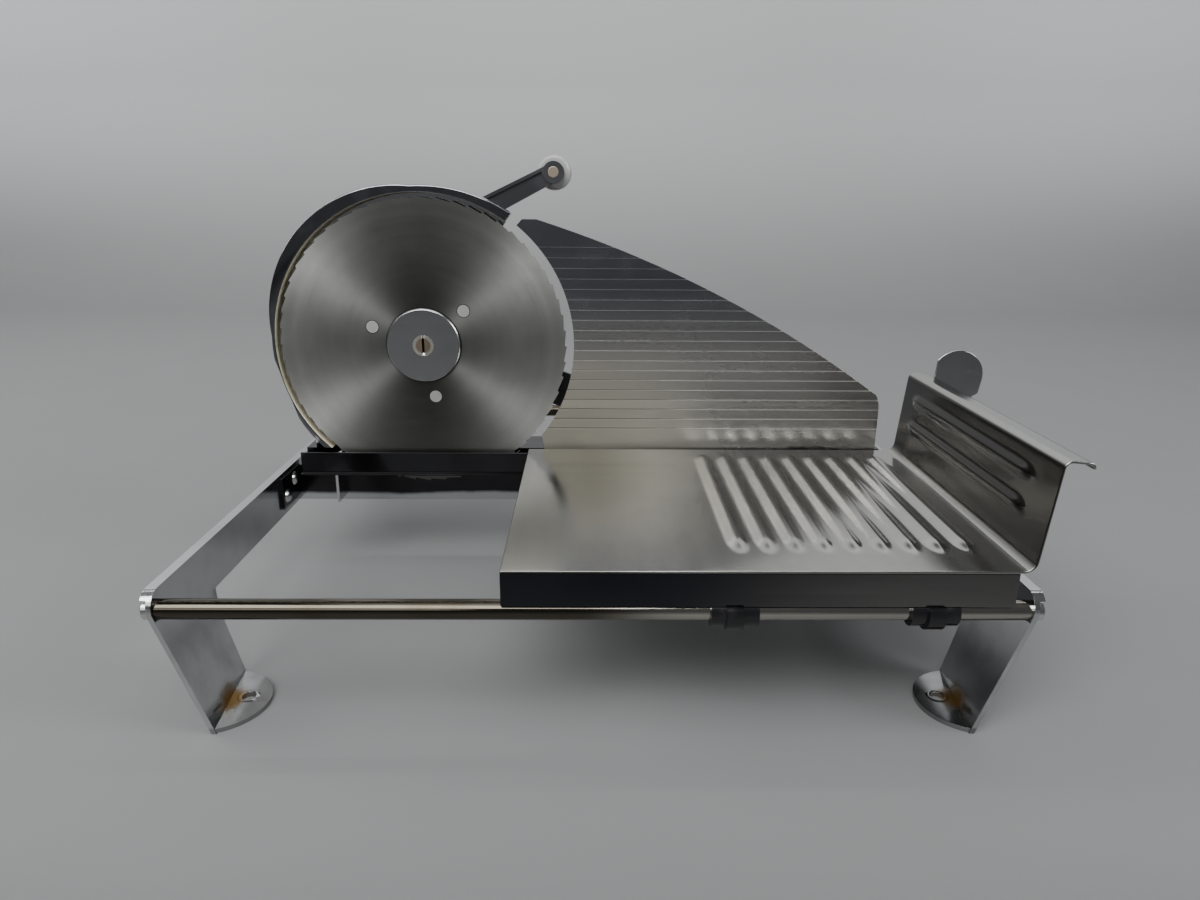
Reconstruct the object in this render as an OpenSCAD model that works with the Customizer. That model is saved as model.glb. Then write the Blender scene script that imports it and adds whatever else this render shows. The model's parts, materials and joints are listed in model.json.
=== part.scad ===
// Hand-cranked deli slicer: chromed stand, round blade, sliding food carriage, slice thickness plate.
// X runs along the carriage travel, Y away from the food side, Z up. The origin is the centre of the
// four foot holes, on the plane that the feet stand on. The blade turns in the plane y = 0.

/* [Stand] */
// Half the distance between the middles of the two side plates
frame_half_w = 211; // [205:1:250]
// Half the length of each side plate, front to back
frame_half_d = 197; // [193:1:225]
// Thickness of the side plates, legs and feet
sheet_t = 2.5; // [2:0.5:3.5]
// Height of the lower edge of the side bar
bar_low_z = 47.5; // [40:0.5:50]
// Height of the side bar itself
bar_h = 28.5; // [26:0.5:34]
// Width of the outward bead on the side bar's top edge
bead_w = 3; // [2:0.5:8]
// Rounding of the side bar's upper corners
bar_corner_r = 9; // [5:0.5:9.5]
// Width of each leg along its foot
leg_w = 54; // [44:1:60]
// Inward lean of the legs
leg_lean = 19.8; // [8:0.2:22]
// Slope of the bend line between side bar and leg
leg_bend_slope = 18; // [10:0.5:20]
// Reach of the round foot inward of its bend line
foot_reach = 22.5; // [18:0.5:26]
// Radius of the screw hole in each foot
foot_hole_r = 3.5; // [2.5:0.25:5]
// Distance of the foot holes from the middle, across the stand
foot_hole_x = 182.5; // [180:0.5:184]

/* [Rods] */
// Radius of the guide rods
rod_r = 5; // [4:0.25:6]
// Height of the rod axis
rod_z = 66; // [64:0.5:67]
// Distance of the rod axis from the end of the side plate
rod_inset = 6; // [5:0.5:9]
// Radius of the threaded rod ends
rod_stud_r = 3; // [2.5:0.25:3.5]

/* [Crossbar and rail] */
// Distance of the crossbar's front face behind the blade plane
crossbar_y = 8; // [7:0.5:10]
// Depth of the crossbar's top flange
crossbar_d = 30; // [24:1:30]
// Height of the crossbar's top face
crossbar_top_z = 86; // [82:0.5:87]
// Thickness of the crossbar and bracket sheet
bracket_t = 2; // [1.5:0.25:2.5]
// Distance of the rail's back face in front of the blade plane
rail_gap = 4.8; // [4:0.2:6]
// Height of the rail's upper edge
rail_top_z = 86.5; // [84:0.5:87]
// Height of the rail strip
rail_h = 15.5; // [12:0.5:18]
// Thickness of the rail sheet
rail_t = 1.2; // [1:0.1:1.6]
// Forward reach of the rail's lower lip
rail_lip = 3; // [2:0.5:5]

/* [Blade] */
// Radius of the blade over its tooth tips
blade_r = 95; // [90:0.5:96]
// Thickness of the blade
blade_t = 1.6; // [1.2:0.1:2]
// Number of ratchet notches in the blade's rim
blade_teeth = 56; // [40:1:72]
// Depth of the notches
notch_d = 1.3; // [0.6:0.1:2]
// Height of the blade axis
hub_z = 160; // [158:0.5:164]
// Distance of the blade axis from the middle, towards the left
hub_left = 113.5; // [110:0.5:116]
// Radius of the clamping disc
clamp_r = 24.5; // [20:0.5:27]
// Thickness of the clamping disc
clamp_t = 2.4; // [1.6:0.1:3]
// Radius of the drive pins
pin_r = 4; // [3:0.25:4.5]
// Distance of the drive pins from the blade axis
pin_circle_r = 35.4; // [33:0.2:37]

/* [Housing] */
// Thickness of the housing's floor
shell_t = 1.6; // [1.2:0.1:2]
// Gap between the blade's edge and the round mouth of the guard's rim
mouth_gap = 2.2; // [1.4:0.1:3]
// Distance that the guard's rim stands in front of the blade plane
rim_front = 3; // [1.5:0.25:3.25]
// Gap between the blade's drive flange and the housing's floor
floor_gap = 1.7; // [1:0.1:2]
// Depth of the gear cover
cover_d = 26; // [24:0.5:27]
// Wall of the gear cover
cover_t = 2; // [1.5:0.25:2.5]

/* [Drive] */
// Module of the gears
gear_module = 2; // [1.8:0.05:2.1]
// Teeth of the blade gear
blade_gear_teeth = 41; // [41:1:43]
// Teeth of the crank pinion
pinion_teeth = 20; // [20:1:22]
// Face width of the gears
gear_w = 10; // [7:0.5:10]
// Radius of the blade spindle
spindle_r = 7; // [6:0.25:8]
// Radius of the crank shaft
shaft_r = 6; // [5:0.25:6.5]
// Radial clearance of a shaft in its bush
running_gap = 0.06; // [0.03:0.01:0.09]
// Length of the crank arm between its two axes
arm_l = 125.7; // [110:0.5:127]
// Width of the crank arm beside the handle
arm_w = 12; // [10:0.5:13]
// Thickness of the crank arm
arm_t = 8; // [6:0.5:9]
// Angle of the crank arm at rest, above level
arm_angle = 26.5; // [0:0.5:90]
// Radius of the handle's spindle
grip_pin_r = 3.7; // [3:0.1:4.5]
// Largest radius of the crank handle
grip_r = 11.8; // [10:0.2:12.5]
// Length of the crank handle
grip_l = 62; // [45:1:70]

/* [Carriage] */
// Distance of the tray's left edge from the middle
tray_left = 45; // [40:0.5:50]
// Distance of the carriage wall's foot from the middle
wall_x = 208; // [202:0.5:210]
// Outward lean of the carriage wall
wall_lean = 5.5; // [0:0.5:8]
// Radius of the fold between tray and wall
fold_r = 7; // [4:0.5:9]
// Distance of the tray's rear edge in front of the blade plane
tray_rear_gap = 3.6; // [3.4:0.1:4.5]
// Height of the tray's upper face
tray_z = 89; // [88.9:0.1:91]
// Thickness of the tray sheet
tray_t = 1.2; // [0.8:0.1:1.3]
// Height of the carriage wall above the tray
wall_h = 57; // [40:1:70]
// Outward reach of the lip on the wall
lip_w = 12; // [6:0.5:14]
// Depth of the front apron below the tray's face
apron_h = 18.6; // [15:0.2:18.8]
// Distance of the apron's right end from the middle
apron_right = 200; // [190:1:205]
// Number of raised ribs on the tray
tray_ribs = 9; // [3:1:9]
// Spacing of the ribs
rib_pitch = 14.3; // [12:0.1:14.5]
// Width of a rib
rib_w = 8.5; // [5:0.5:10]
// Height of a rib
rib_h = 1.6; // [0.8:0.1:2.5]
// Middle of the left guide clip
clip_left_x = 66.5; // [40:0.5:80]
// Middle of the right guide clip
clip_right_x = 162.5; // [120:0.5:180]
// Length of a guide clip
clip_w = 23; // [16:0.5:26]
// Radial clearance of the clips on the rod
clip_gap = 0.08; // [0.04:0.01:0.1]
// Radius of the thumb guard
thumb_r = 17.5; // [14:0.5:20]

/* [Thickness plate] */
// Gap between the blade's edge and the plate's round cut-out
slice_gap = 4.7; // [4.2:0.1:7]
// Distance of the plate's face behind the blade plane at rest
plate_y = 1.5; // [1.2:0.1:2]
// Thickness of the plate
plate_t = 2.5; // [2:0.1:3]
// Gap between the plate's lower edge and the crossbar and rail
plate_gap = 0.5; // [0.5:0.1:4]
// Distance of the plate's right edge from the middle
plate_right = 195.5; // [185:0.5:200]
// Number of grooves across the plate
plate_grooves = 19; // [8:1:19]
// Spacing of the grooves
groove_pitch = 6.75; // [6:0.05:6.8]
// Radius of the plate's guide pins
guide_pin_r = 4; // [3:0.25:5]
// Distance between the plate's guide pins
guide_pin_gap = 84; // [70:1:100]
// Furthest travel of the plate away from the blade plane
plate_travel = 12.7; // [8:0.1:12.7]
// Radius of the thickness knob
knob_r = 19; // [14:0.5:21]

/* [Hidden] */
$fn = 96;
cut = 1;                                    // overshoot of cutting shapes past a face
CHROME = [0.72, 0.73, 0.75];
STAINLESS = [0.62, 0.62, 0.6];
DARK = [0.2, 0.2, 0.21];
ZINC = [0.66, 0.66, 0.64];
BLACK = [0.05, 0.05, 0.05];

hub_x = -hub_left;
floor_y = crossbar_y - shell_t;             // front face of the housing's floor
flange_front = blade_t / 2;
flange_t = floor_y - floor_gap - flange_front;
cover_y = crossbar_y;                       // front of the gear cover
gear_y = cover_y + 4;
bush_y = gear_y + gear_w + 2;
cover_back = cover_y + cover_d;
bush_end = cover_back + 4.5;
mesh_angle = 116.5;                         // direction of the crank axis from the blade axis
gear_distance = gear_module * (blade_gear_teeth + pinion_teeth) / 2;
crank_x = hub_x + gear_distance * cos(mesh_angle);
crank_z = hub_z + gear_distance * sin(mesh_angle);
arm_y = bush_end + 3;
grip_x = crank_x + arm_l * cos(arm_angle);
grip_z = crank_z + arm_l * sin(arm_angle);
grip_y = arm_y + arm_t + 2.3;
rod_y = frame_half_d - rod_inset;
bar_top_z = bar_low_z + bar_h;
plate_in = frame_half_w - sheet_t / 2;      // inner face of a side plate
tray_front = -frame_half_d;
tray_rear = -tray_rear_gap;
rail_front = -rail_gap - rail_t;
rail_low_z = rail_top_z - rail_h;
rail_half_l = frame_half_w - 10;
sill_z = max(crossbar_top_z, rail_top_z);    // upper edge of the crossbar and rail
plate_low_z = sill_z + plate_gap;
support_x = 110;                            // middle of the thickness plate's support
support_z = crossbar_top_z + 26;
support_front = plate_y + plate_t + plate_travel + 4.3;
support_back = crossbar_y + crossbar_d;
cutout_r = blade_r + slice_gap;
bolt_r = 2.5;
bolt_hole_gap = 0.1;
foot_hole_y = frame_half_d - leg_w / 2 - 2;
tab_bolts = [[-3, 19.5], [-19, 12.5]];      // place of the frame bolts: y, and height over the bar
guard_bolt_x = [-52, 0, 46];                // guard bolts from the blade axis
guard_low_z = rail_low_z + 1;               // lower edge of the guard, behind the rail
cover_r = gear_module * blade_gear_teeth / 2 + 8;
crank_cover_r = gear_module * pinion_teeth / 2 + 8;
cover_flange = 10.5;                        // reach of the cover's flange past its wall
guard_bolt_z = rail_low_z + 7;

// Extrudes a drawing of X and Z along Y, from y0 for len
module along_y(y0, len) {
    translate([0, y0 + len, 0]) rotate([90, 0, 0]) linear_extrude(len) children();
}

// Extrudes a drawing of Y and Z along X, from x0 for len
module along_x(x0, len) {
    translate([x0, 0, 0]) rotate([90, 0, 90]) linear_extrude(len) children();
}

// Round bar along Y
module rod_along_y(x, z, y0, len, r) {
    translate([x, y0, z]) rotate([-90, 0, 0]) cylinder(h = len, r = r);
}

// Round bar along X
module rod_along_x(y, z, x0, len, r) {
    translate([x0, y, z]) rotate([0, 90, 0]) cylinder(h = len, r = r);
}

// Rectangle with its lower left corner at p
module slab(p, size) {
    translate(p) square(size);
}

// Outline of two circles on a line, with straight sides that run a hair inside their tangents
module belt(r1, r2, d) {
    lean = acos((r1 - r2) / d);
    along = [cos(lean), sin(lean)];
    corner1 = (r1 - 0.05) * along;
    corner2 = [d, 0] + (r2 - 0.05) * along;
    circle(r1);
    translate([d, 0]) circle(r2);
    polygon([[corner1[0], -corner1[1]], [corner2[0], -corner2[1]], corner2, corner1]);
}

// ---------------------------------------------------------------- stand

// Half of a side plate's profile in Y and Z, its front end at -Y
module half_bar_profile() {
    bend_rear_y = -frame_half_d + leg_w;
    bend_front_z = bar_low_z + leg_w * tan(leg_bend_slope);
    polygon([[0, bar_low_z], [0, bar_top_z], [-frame_half_d + bar_corner_r, bar_top_z],
        [-frame_half_d + bar_corner_r, bar_top_z - bar_corner_r],
        [-frame_half_d, bar_top_z - bar_corner_r],
        [-frame_half_d, bend_front_z], [bend_rear_y, bar_low_z]]);
    translate([-frame_half_d + bar_corner_r, bar_top_z - bar_corner_r]) circle(bar_corner_r);
}

// Half of the bead strip that follows the bar's top edge and round corner
module half_bead_profile() {
    difference() {
        intersection() {
            half_bar_profile();
            slab([-frame_half_d, rod_z + rod_r + 1.5], [frame_half_d, bar_h]);
        }
        slab([-frame_half_d + bar_corner_r, 0], [frame_half_d, bar_top_z - sheet_t]);
        translate([-frame_half_d + bar_corner_r, bar_top_z - bar_corner_r])
            circle(bar_corner_r - sheet_t);
        slab([-frame_half_d + sheet_t, 0], [bar_corner_r, bar_top_z - bar_corner_r]);
    }
}

// Front left leg: a leaning slab cut to the leg's outline
module leg() {
    rear_y = -frame_half_d + leg_w;
    root_y = rear_y + 14;
    intersection() {
        translate([-plate_in - sheet_t, rear_y, bar_low_z]) rotate([-leg_bend_slope, 0, 0])
            rotate([0, -leg_lean, 0]) translate([0, -2 * leg_w, -2 * bar_low_z])
                cube([sheet_t, 4 * leg_w, 4 * bar_low_z]);
        along_x(-plate_in - sheet_t, 2 * sheet_t + bar_low_z) polygon([[-frame_half_d, 0],
            [rear_y, 0], [rear_y + 5, bar_low_z * 0.62], [rear_y + 8, bar_low_z * 0.82],
            [root_y, bar_low_z], [rear_y, bar_low_z + 2],
            [-frame_half_d, bar_low_z + leg_w * tan(leg_bend_slope) + 2]]);
    }
}

// Inward shift of the foot's bend line at a distance y from the leg's rear edge
function bend_shift(y) = tan(leg_lean)
    * (sin(leg_bend_slope) * y + cos(leg_bend_slope) * bar_low_z);

// Front left foot: a disc cut off along the bend line
module foot() {
    rear_x = -plate_in - sheet_t + bend_shift(0);
    front_x = -plate_in - sheet_t + bend_shift(leg_w);
    toe = atan((front_x - rear_x) / leg_w);
    foot_r = (pow(foot_reach, 2) + pow(leg_w / 2, 2)) / (2 * foot_reach);
    difference() {
        translate([(rear_x + front_x) / 2, -frame_half_d + leg_w / 2, 0]) rotate([0, 0, toe])
            linear_extrude(sheet_t) intersection() {
                translate([foot_reach - foot_r, 0]) circle(foot_r);
                slab([sheet_t * 0.2, -foot_r], [foot_reach, 2 * foot_r]);
            }
        translate([-foot_hole_x, -foot_hole_y, -cut])
            cylinder(h = sheet_t + 2 * cut, r = foot_hole_r);
    }
}

// Left side frame: bar with its bead, two legs and two feet
module side_frame() {
    difference() {
        union() {
            for (s = [0, 1]) mirror([0, s, 0]) {
                along_x(-plate_in - sheet_t, sheet_t) half_bar_profile();
                along_x(-plate_in - sheet_t - bead_w, sheet_t + bead_w) half_bead_profile();
                leg();
                foot();
            }
        }
        for (s = [-1, 1]) {
            rod_along_x(s * rod_y, rod_z, -plate_in - sheet_t - cut, sheet_t + 2 * cut,
                rod_stud_r + bolt_hole_gap);
            rod_along_x(s * rod_y, rod_z, -plate_in, 2 * rod_r, rod_r + 3 * bolt_hole_gap);
        }
        for (b = tab_bolts)
            rod_along_x(b[0], bar_low_z + b[1], -plate_in - sheet_t - cut, sheet_t + 2 * cut,
                bolt_r + bolt_hole_gap);
    }
}

module left_side_frame() {
    color(CHROME) side_frame();
}

module right_side_frame() {
    color(CHROME) mirror([1, 0, 0]) side_frame();
}

// Guide rod with a threaded stud at each end
module guide_rod(y) {
    rod_along_x(y, rod_z, -plate_in, 2 * plate_in, rod_r);
    rod_along_x(y, rod_z, -plate_in - sheet_t - 4, 2 * (plate_in + sheet_t + 4), rod_stud_r);
}

module front_rod() {
    color(CHROME) guide_rod(-rod_y);
}

module rear_rod() {
    color(CHROME) guide_rod(rod_y);
}

// Four cap nuts on the rod ends
module rod_nuts() {
    nut_t = 5;
    nut_r = 5.2;
    color(CHROME) for (m = [0, 1]) mirror([m, 0, 0]) for (y = [-rod_y, rod_y])
        difference() {
            intersection() {
                rod_along_x(y, rod_z, -plate_in - sheet_t - nut_t, nut_t, nut_r);
                translate([-plate_in - sheet_t + 1.5, y, rod_z]) sphere(nut_r + 1.6);
            }
            rod_along_x(y, rod_z, -plate_in - sheet_t - 4, 4 + cut, rod_stud_r);
        }
}

// Inverted channel across the stand, with end tabs bent forward along the side plates
module crossbar() {
    tab_y = -26;
    tab_z = [bar_low_z + 4.5, bar_low_z + 26.5];
    color(CHROME) difference() {
        union() {
            along_x(-plate_in, 2 * plate_in)
                slab([crossbar_y, bar_low_z], [bracket_t, bar_top_z - 3 - bar_low_z]);
            along_x(-rail_half_l, 2 * rail_half_l) {
                slab([crossbar_y, bar_low_z], [bracket_t, crossbar_top_z - bar_low_z]);
                slab([crossbar_y, crossbar_top_z - bracket_t], [crossbar_d, bracket_t]);
                slab([support_back - bracket_t, bar_low_z + 14],
                    [bracket_t, crossbar_top_z - bar_low_z - 14]);
            }
            for (x = [-plate_in, plate_in - bracket_t])
                along_x(x, bracket_t)
                    slab([tab_y, tab_z[0]], [crossbar_y - tab_y, tab_z[1] - tab_z[0]]);
        }
        for (b = tab_bolts) rod_along_x(b[0], bar_low_z + b[1], -frame_half_w, 2 * frame_half_w,
            bolt_r + bolt_hole_gap);
        for (x = guard_bolt_x) rod_along_y(hub_x + x, guard_bolt_z, crossbar_y - cut,
            bracket_t + 2 * cut, bolt_r + bolt_hole_gap);
        for (x = support_screw_x()) translate([support_x + x, support_mid_y(), crossbar_top_z - 5])
            cylinder(h = 10, r = 2 + bolt_hole_gap);
    }
}

// Folded strip that the carriage's rear shoes run on
module carriage_rail() {
    color(CHROME) along_x(-rail_half_l, 2 * rail_half_l) {
        slab([rail_front, rail_low_z], [rail_t, rail_h]);
        slab([rail_front - rail_lip, rail_low_z], [rail_lip + rail_t, rail_t]);
    }
}

// Three upright plates that hold the rail in front of the crossbar
module rail_brackets() {
    color(CHROME) for (x = [-178, 4, 178])
        along_x(x - bracket_t / 2, bracket_t)
            union() {
                slab([-rail_gap, bar_low_z + 2.5],
                    [rail_gap + crossbar_y, guard_low_z - 0.5 - bar_low_z - 2.5]);
                slab([-rail_gap, guard_low_z - 1],
                    [rail_gap + floor_y - 0.5, rail_top_z - 2.5 - guard_low_z]);
            }
}

// Round-headed bolts through the crossbar's tabs and the side plates
module frame_bolts() {
    head_t = 2.6;
    dome_sink = 2.8;
    color(ZINC) for (m = [0, 1]) mirror([m, 0, 0]) for (b = tab_bolts) {
        rod_along_x(b[0], bar_low_z + b[1], -plate_in - sheet_t - 4,
            4 + sheet_t + bracket_t, bolt_r);
        translate([-plate_in + bracket_t, b[0], bar_low_z + b[1]]) rotate([0, 90, 0])
            rotate_extrude() intersection() {
                square([4.8, head_t]);
                translate([0, -dome_sink]) circle(dome_sink + head_t);
            }
    }
}

// Hexagon nuts on the frame bolts
module frame_nuts() {
    color(ZINC) for (m = [0, 1]) mirror([m, 0, 0]) for (b = tab_bolts)
        difference() {
            translate([-plate_in - sheet_t - 3.6, b[0], bar_low_z + b[1]]) rotate([0, 90, 0])
                cylinder(h = 3.6, r = 4.6, $fn = 6);
            rod_along_x(b[0], bar_low_z + b[1], -plate_in - sheet_t - 5, 6, bolt_r);
        }
}

// ---------------------------------------------------------------- housing

// Outline of the guard, drawn about the blade axis
module guard_region() {
    left_top = [-blade_r - 5, -8];
    left_low = [15 - blade_r, -74];
    base_z = guard_low_z - hub_z;
    intersection() {
        union() {
            translate([3, -1]) circle(blade_r + 7.8);
            translate([-12, 14]) circle(blade_r - 7);
        }
        polygon([[-130, -8], left_top, left_low, [left_low[0], base_z], [60, base_z], [60, 60],
            [62.3, 84], [75, 101], [40, 130], [-130, 130]]);
    }
}

// Part of the guard's outline that carries the rim: the left and upper stretches
module rim_sector() {
    low_z = sill_z + 2.5 - hub_z;
    polygon([[-5, 0], [66, 92.5], [75, 130], [-130, 130], [-130, low_z], [-60, low_z]]);
}

module blade_guard() {
    foot_z = guard_low_z - hub_z;
    color(CHROME) difference() {
        translate([hub_x, 0, hub_z]) union() {
            along_y(-rim_front, rim_front + crossbar_y) intersection() {
                difference() {
                    guard_region();
                    circle(blade_r + mouth_gap);
                }
                rim_sector();
            }
            along_y(floor_y, shell_t) {
                intersection() {
                    guard_region();
                    rim_sector();
                }
                circle(blade_r - 11);
                slab([-80, foot_z], [141.5, 60]);
            }
        }
        rod_along_y(hub_x, hub_z, floor_y - cut, shell_t + 2 * cut, spindle_r + 7);
        for (x = guard_bolt_x) rod_along_y(hub_x + x, guard_bolt_z, floor_y - cut,
            shell_t + 2 * cut, bolt_r + bolt_hole_gap);
        for (p = cover_screw_places()) rod_along_y(p[0], p[1], floor_y - cut, shell_t + 2 * cut,
            2 + bolt_hole_gap);
    }
}

// Bolts that hold the guard's floor to the crossbar
module guard_bolts() {
    color(ZINC) for (x = guard_bolt_x) {
        rod_along_y(hub_x + x, guard_bolt_z, floor_y - 2.2, 2.2, 4.4);
        rod_along_y(hub_x + x, guard_bolt_z, floor_y, shell_t + bracket_t + 4, bolt_r);
        difference() {
            rod_along_y(hub_x + x, guard_bolt_z, crossbar_y + bracket_t, 3.4, 4.4);
            rod_along_y(hub_x + x, guard_bolt_z, crossbar_y + bracket_t - cut, 5, bolt_r);
        }
    }
}

// Places of the cover's four screws, in X and Z
function cover_screw_places() = let (r1 = cover_r + 6, r2 = crank_cover_r + 5.5)
    [for (a = [-150, -30]) [hub_x + r1 * cos(a), hub_z + r1 * sin(a)],
    for (a = [-60, 60]) [crank_x + r2 * cos(mesh_angle + a), crank_z + r2 * sin(mesh_angle + a)]];

// Outline of the cover, in its own frame along the line of the two axes
module cover_outline(extra) {
    rotate(mesh_angle) belt(cover_r + extra, crank_cover_r + extra, gear_distance);
}

module gear_cover() {
    color(CHROME) difference() {
        union() {
            translate([hub_x, 0, hub_z]) difference() {
                union() {
                    along_y(cover_y, cover_d) cover_outline(0);
                    along_y(cover_y, cover_t) cover_outline(cover_flange);
                }
                along_y(cover_y - cut, cover_d - cover_t + cut) cover_outline(-cover_t);
            }
            rod_along_y(hub_x, hub_z, cover_back, 2, spindle_r + 8);
            rod_along_y(crank_x, crank_z, cover_back, 2, shaft_r + 8);
        }
        rod_along_y(hub_x, hub_z, cover_y, cover_d + 5, spindle_r + 4);
        rod_along_y(crank_x, crank_z, cover_y, cover_d + 5, shaft_r + 4);
        for (p = cover_screw_places())
            rod_along_y(p[0], p[1], cover_y - cut, cover_t + 2 * cut, 2 + bolt_hole_gap);
    }
}

// Screws that clamp the cover's flange to the housing's floor
module cover_screws() {
    color(ZINC) for (p = cover_screw_places()) {
        rod_along_y(p[0], p[1], cover_y + cover_t, 2, 3.8);
        rod_along_y(p[0], p[1], floor_y - 0.6, shell_t + cover_t + 0.6, 2);
    }
}

// Bearing bush of the blade's spindle
module spindle_bush() {
    color("peru") difference() {
        rod_along_y(hub_x, hub_z, bush_y, bush_end - bush_y, spindle_r + 4);
        rod_along_y(hub_x, hub_z, bush_y - cut, bush_end - bush_y + 2 * cut,
            spindle_r + running_gap);
    }
}

// Bearing bush of the crank's shaft
module crank_bush() {
    color("peru") difference() {
        rod_along_y(crank_x, crank_z, bush_y, bush_end - bush_y, shaft_r + 4);
        rod_along_y(crank_x, crank_z, bush_y - cut, bush_end - bush_y + 2 * cut,
            shaft_r + running_gap);
    }
}

// Bracket behind the cutting edge that turns the slice away
module slice_deflector() {
    reach = plate_y + plate_t + plate_travel + 1.3;
    foot_in = cover_r + cover_flange + 1.5;
    foot_out = blade_r - 13;
    color(DARK) translate([hub_x, 0, hub_z]) rotate([0, 20.5, 0]) {
        along_y(crossbar_y, 2) slab([foot_in, -12], [foot_out - foot_in, 24]);
        along_y(crossbar_y, reach + 3 - crossbar_y) slab([foot_out - 2, -12], [2, 24]);
        along_y(reach, 3) slab([foot_out - 2, -12], [26, 24]);
    }
}

// ---------------------------------------------------------------- thickness plate's support

function support_mid_y() = (support_front + support_back) / 2;
function support_screw_x() = [-32, 32];

// U-shaped bracket on the crossbar that the plate's guide pins run through
module gauge_support() {
    w = guide_pin_gap + 26;
    h = 42;
    color(ZINC) difference() {
        translate([support_x - w / 2, 0, crossbar_top_z]) {
            translate([0, support_front, 0])
                cube([w, support_back - support_front, bracket_t]);
            translate([0, support_front, 0]) cube([w, bracket_t, h]);
            translate([0, support_back - bracket_t, 0]) cube([w, bracket_t, h]);
        }
        for (s = [-1, 1])
            rod_along_y(support_x + s * guide_pin_gap / 2, support_z, 0, 3 * support_back,
                guide_pin_r + running_gap);
        rod_along_y(support_x, support_z, 0, support_back - bracket_t - cut, 9);
        rod_along_y(support_x, support_z, 0, 3 * support_back, guide_pin_r + running_gap);
        for (x = support_screw_x()) translate([support_x + x, support_mid_y(), crossbar_top_z - 5])
            cylinder(h = 10, r = 2 + bolt_hole_gap);
    }
}

// Screws that hold the support to the crossbar's top
module support_screws() {
    color(ZINC) for (x = support_screw_x()) {
        translate([support_x + x, support_mid_y(), crossbar_top_z - bracket_t - 3])
            cylinder(h = 3 + 2 * bracket_t, r = 2);
        translate([support_x + x, support_mid_y(), crossbar_top_z + bracket_t])
            cylinder(h = 2.2, r = 3.6);
    }
}

// ---------------------------------------------------------------- blade and its drive

// Rim of the blade: each tooth falls slowly from its tip and steps out again at the next
function blade_outline() = [for (i = [0 : blade_teeth - 1]) for (k = [0, 1])
    let (a = (i + k * 0.94) * 360 / blade_teeth, r = blade_r - (1 - k) * notch_d)
        [r * cos(a), r * sin(a)]];

module blade() {
    bevel = 7;
    color([0.5, 0.5, 0.49]) translate([hub_x, 0, hub_z]) difference() {
        along_y(-blade_t / 2, blade_t) polygon(blade_outline());
        difference() {
            rod_along_y(0, 0, blade_t * 0.2, blade_t, blade_r + cut);
            translate([0, blade_t * 0.2 - cut, 0]) rotate([-90, 0, 0])
                cylinder(h = blade_t + 2 * cut, r1 = blade_r + bevel, r2 = blade_r - bevel);
        }
        rod_along_y(0, 0, -blade_t, 2 * blade_t, spindle_r);
        for (i = [0 : 2]) rotate([0, -40 - 120 * i, 0])
            rod_along_y(pin_circle_r, 0, -blade_t, 2 * blade_t, pin_r);
    }
}

// Polished disc that clamps the blade on its spindle
module clamp_disc() {
    color(DARK) translate([hub_x, -blade_t / 2 - clamp_t, hub_z]) difference() {
        rotate([-90, 0, 0]) rotate_extrude() polygon([[0, 0], [clamp_r - 0.8, 0], [clamp_r, 0.8],
            [clamp_r, clamp_t], [0, clamp_t]]);
        rotate([-90, 0, 0]) translate([0, 0, -cut]) cylinder(h = clamp_t + 2 * cut, r = 3);
        rotate([-90, 0, 0]) translate([0, 0, -0.01]) cylinder(h = clamp_t * 0.8, r1 = 7, r2 = 3);
    }
}

// Slotted countersunk screw in the blade's centre
module clamp_screw() {
    color([0.62, 0.5, 0.36]) translate([hub_x, -blade_t / 2 - clamp_t, hub_z]) difference() {
        rotate([-90, 0, 0]) {
            translate([0, 0, -0.3]) cylinder(h = 0.3, r = 6.9);
            cylinder(h = clamp_t * 0.8, r1 = 6.9, r2 = 2.9);
            cylinder(h = 14, r = 2.9);
        }
        translate([-0.7, -cut, -8]) cube([1.4, cut + 0.9, 16]);
    }
}

// Three pins that carry the drive from the flange to the blade
module drive_pins() {
    color(ZINC) translate([hub_x, 0, hub_z]) for (i = [0 : 2]) rotate([0, -40 - 120 * i, 0])
        rod_along_y(pin_circle_r, 0, -blade_t / 2 - 0.25, 0.25 + blade_t + flange_t, pin_r);
}

// Disc behind the blade, with the hub that spaces the gear
module drive_flange() {
    color(ZINC) translate([hub_x, 0, hub_z]) difference() {
        union() {
            rod_along_y(0, 0, flange_front, flange_t, pin_circle_r + pin_r + 3);
            rod_along_y(0, 0, flange_front, gear_y - flange_front, spindle_r + 4);
        }
        rod_along_y(0, 0, 0, gear_y + cut, spindle_r);
        for (i = [0 : 2]) rotate([0, -40 - 120 * i, 0])
            rod_along_y(pin_circle_r, 0, 0, gear_y, pin_r);
    }
}

// Shaft that carries the blade, the flange and the gear
module blade_spindle() {
    color(ZINC) difference() {
        rod_along_y(hub_x, hub_z, -blade_t / 2, bush_end + 1.9 + blade_t / 2, spindle_r);
        rod_along_y(hub_x, hub_z, -blade_t, 14, 2.9);
        difference() {
            rod_along_y(hub_x, hub_z, bush_end + 0.2, 1.2, spindle_r + cut);
            rod_along_y(hub_x, hub_z, bush_end, 2, spindle_r - 1);
        }
    }
}

// Ring in the spindle's groove, behind its bush
module spindle_ring() {
    color(DARK) difference() {
        rod_along_y(hub_x, hub_z, bush_end + 0.2, 1.2, spindle_r + 2.6);
        rod_along_y(hub_x, hub_z, bush_end, 2, spindle_r - 1);
    }
}

// Outline of a gear with straight-sided teeth, one of them on the X axis
function gear_outline(teeth) = let (pitch_r = gear_module * teeth / 2, step = 360 / teeth)
    [for (i = [0 : teeth - 1]) for (p = [[-0.30, -1.2], [-0.135, 0.88], [0.135, 0.88], [0.30, -1.2]])
        let (a = (i + p[0]) * step, r = pitch_r + p[1] * gear_module) [r * cos(a), r * sin(a)]];

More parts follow.
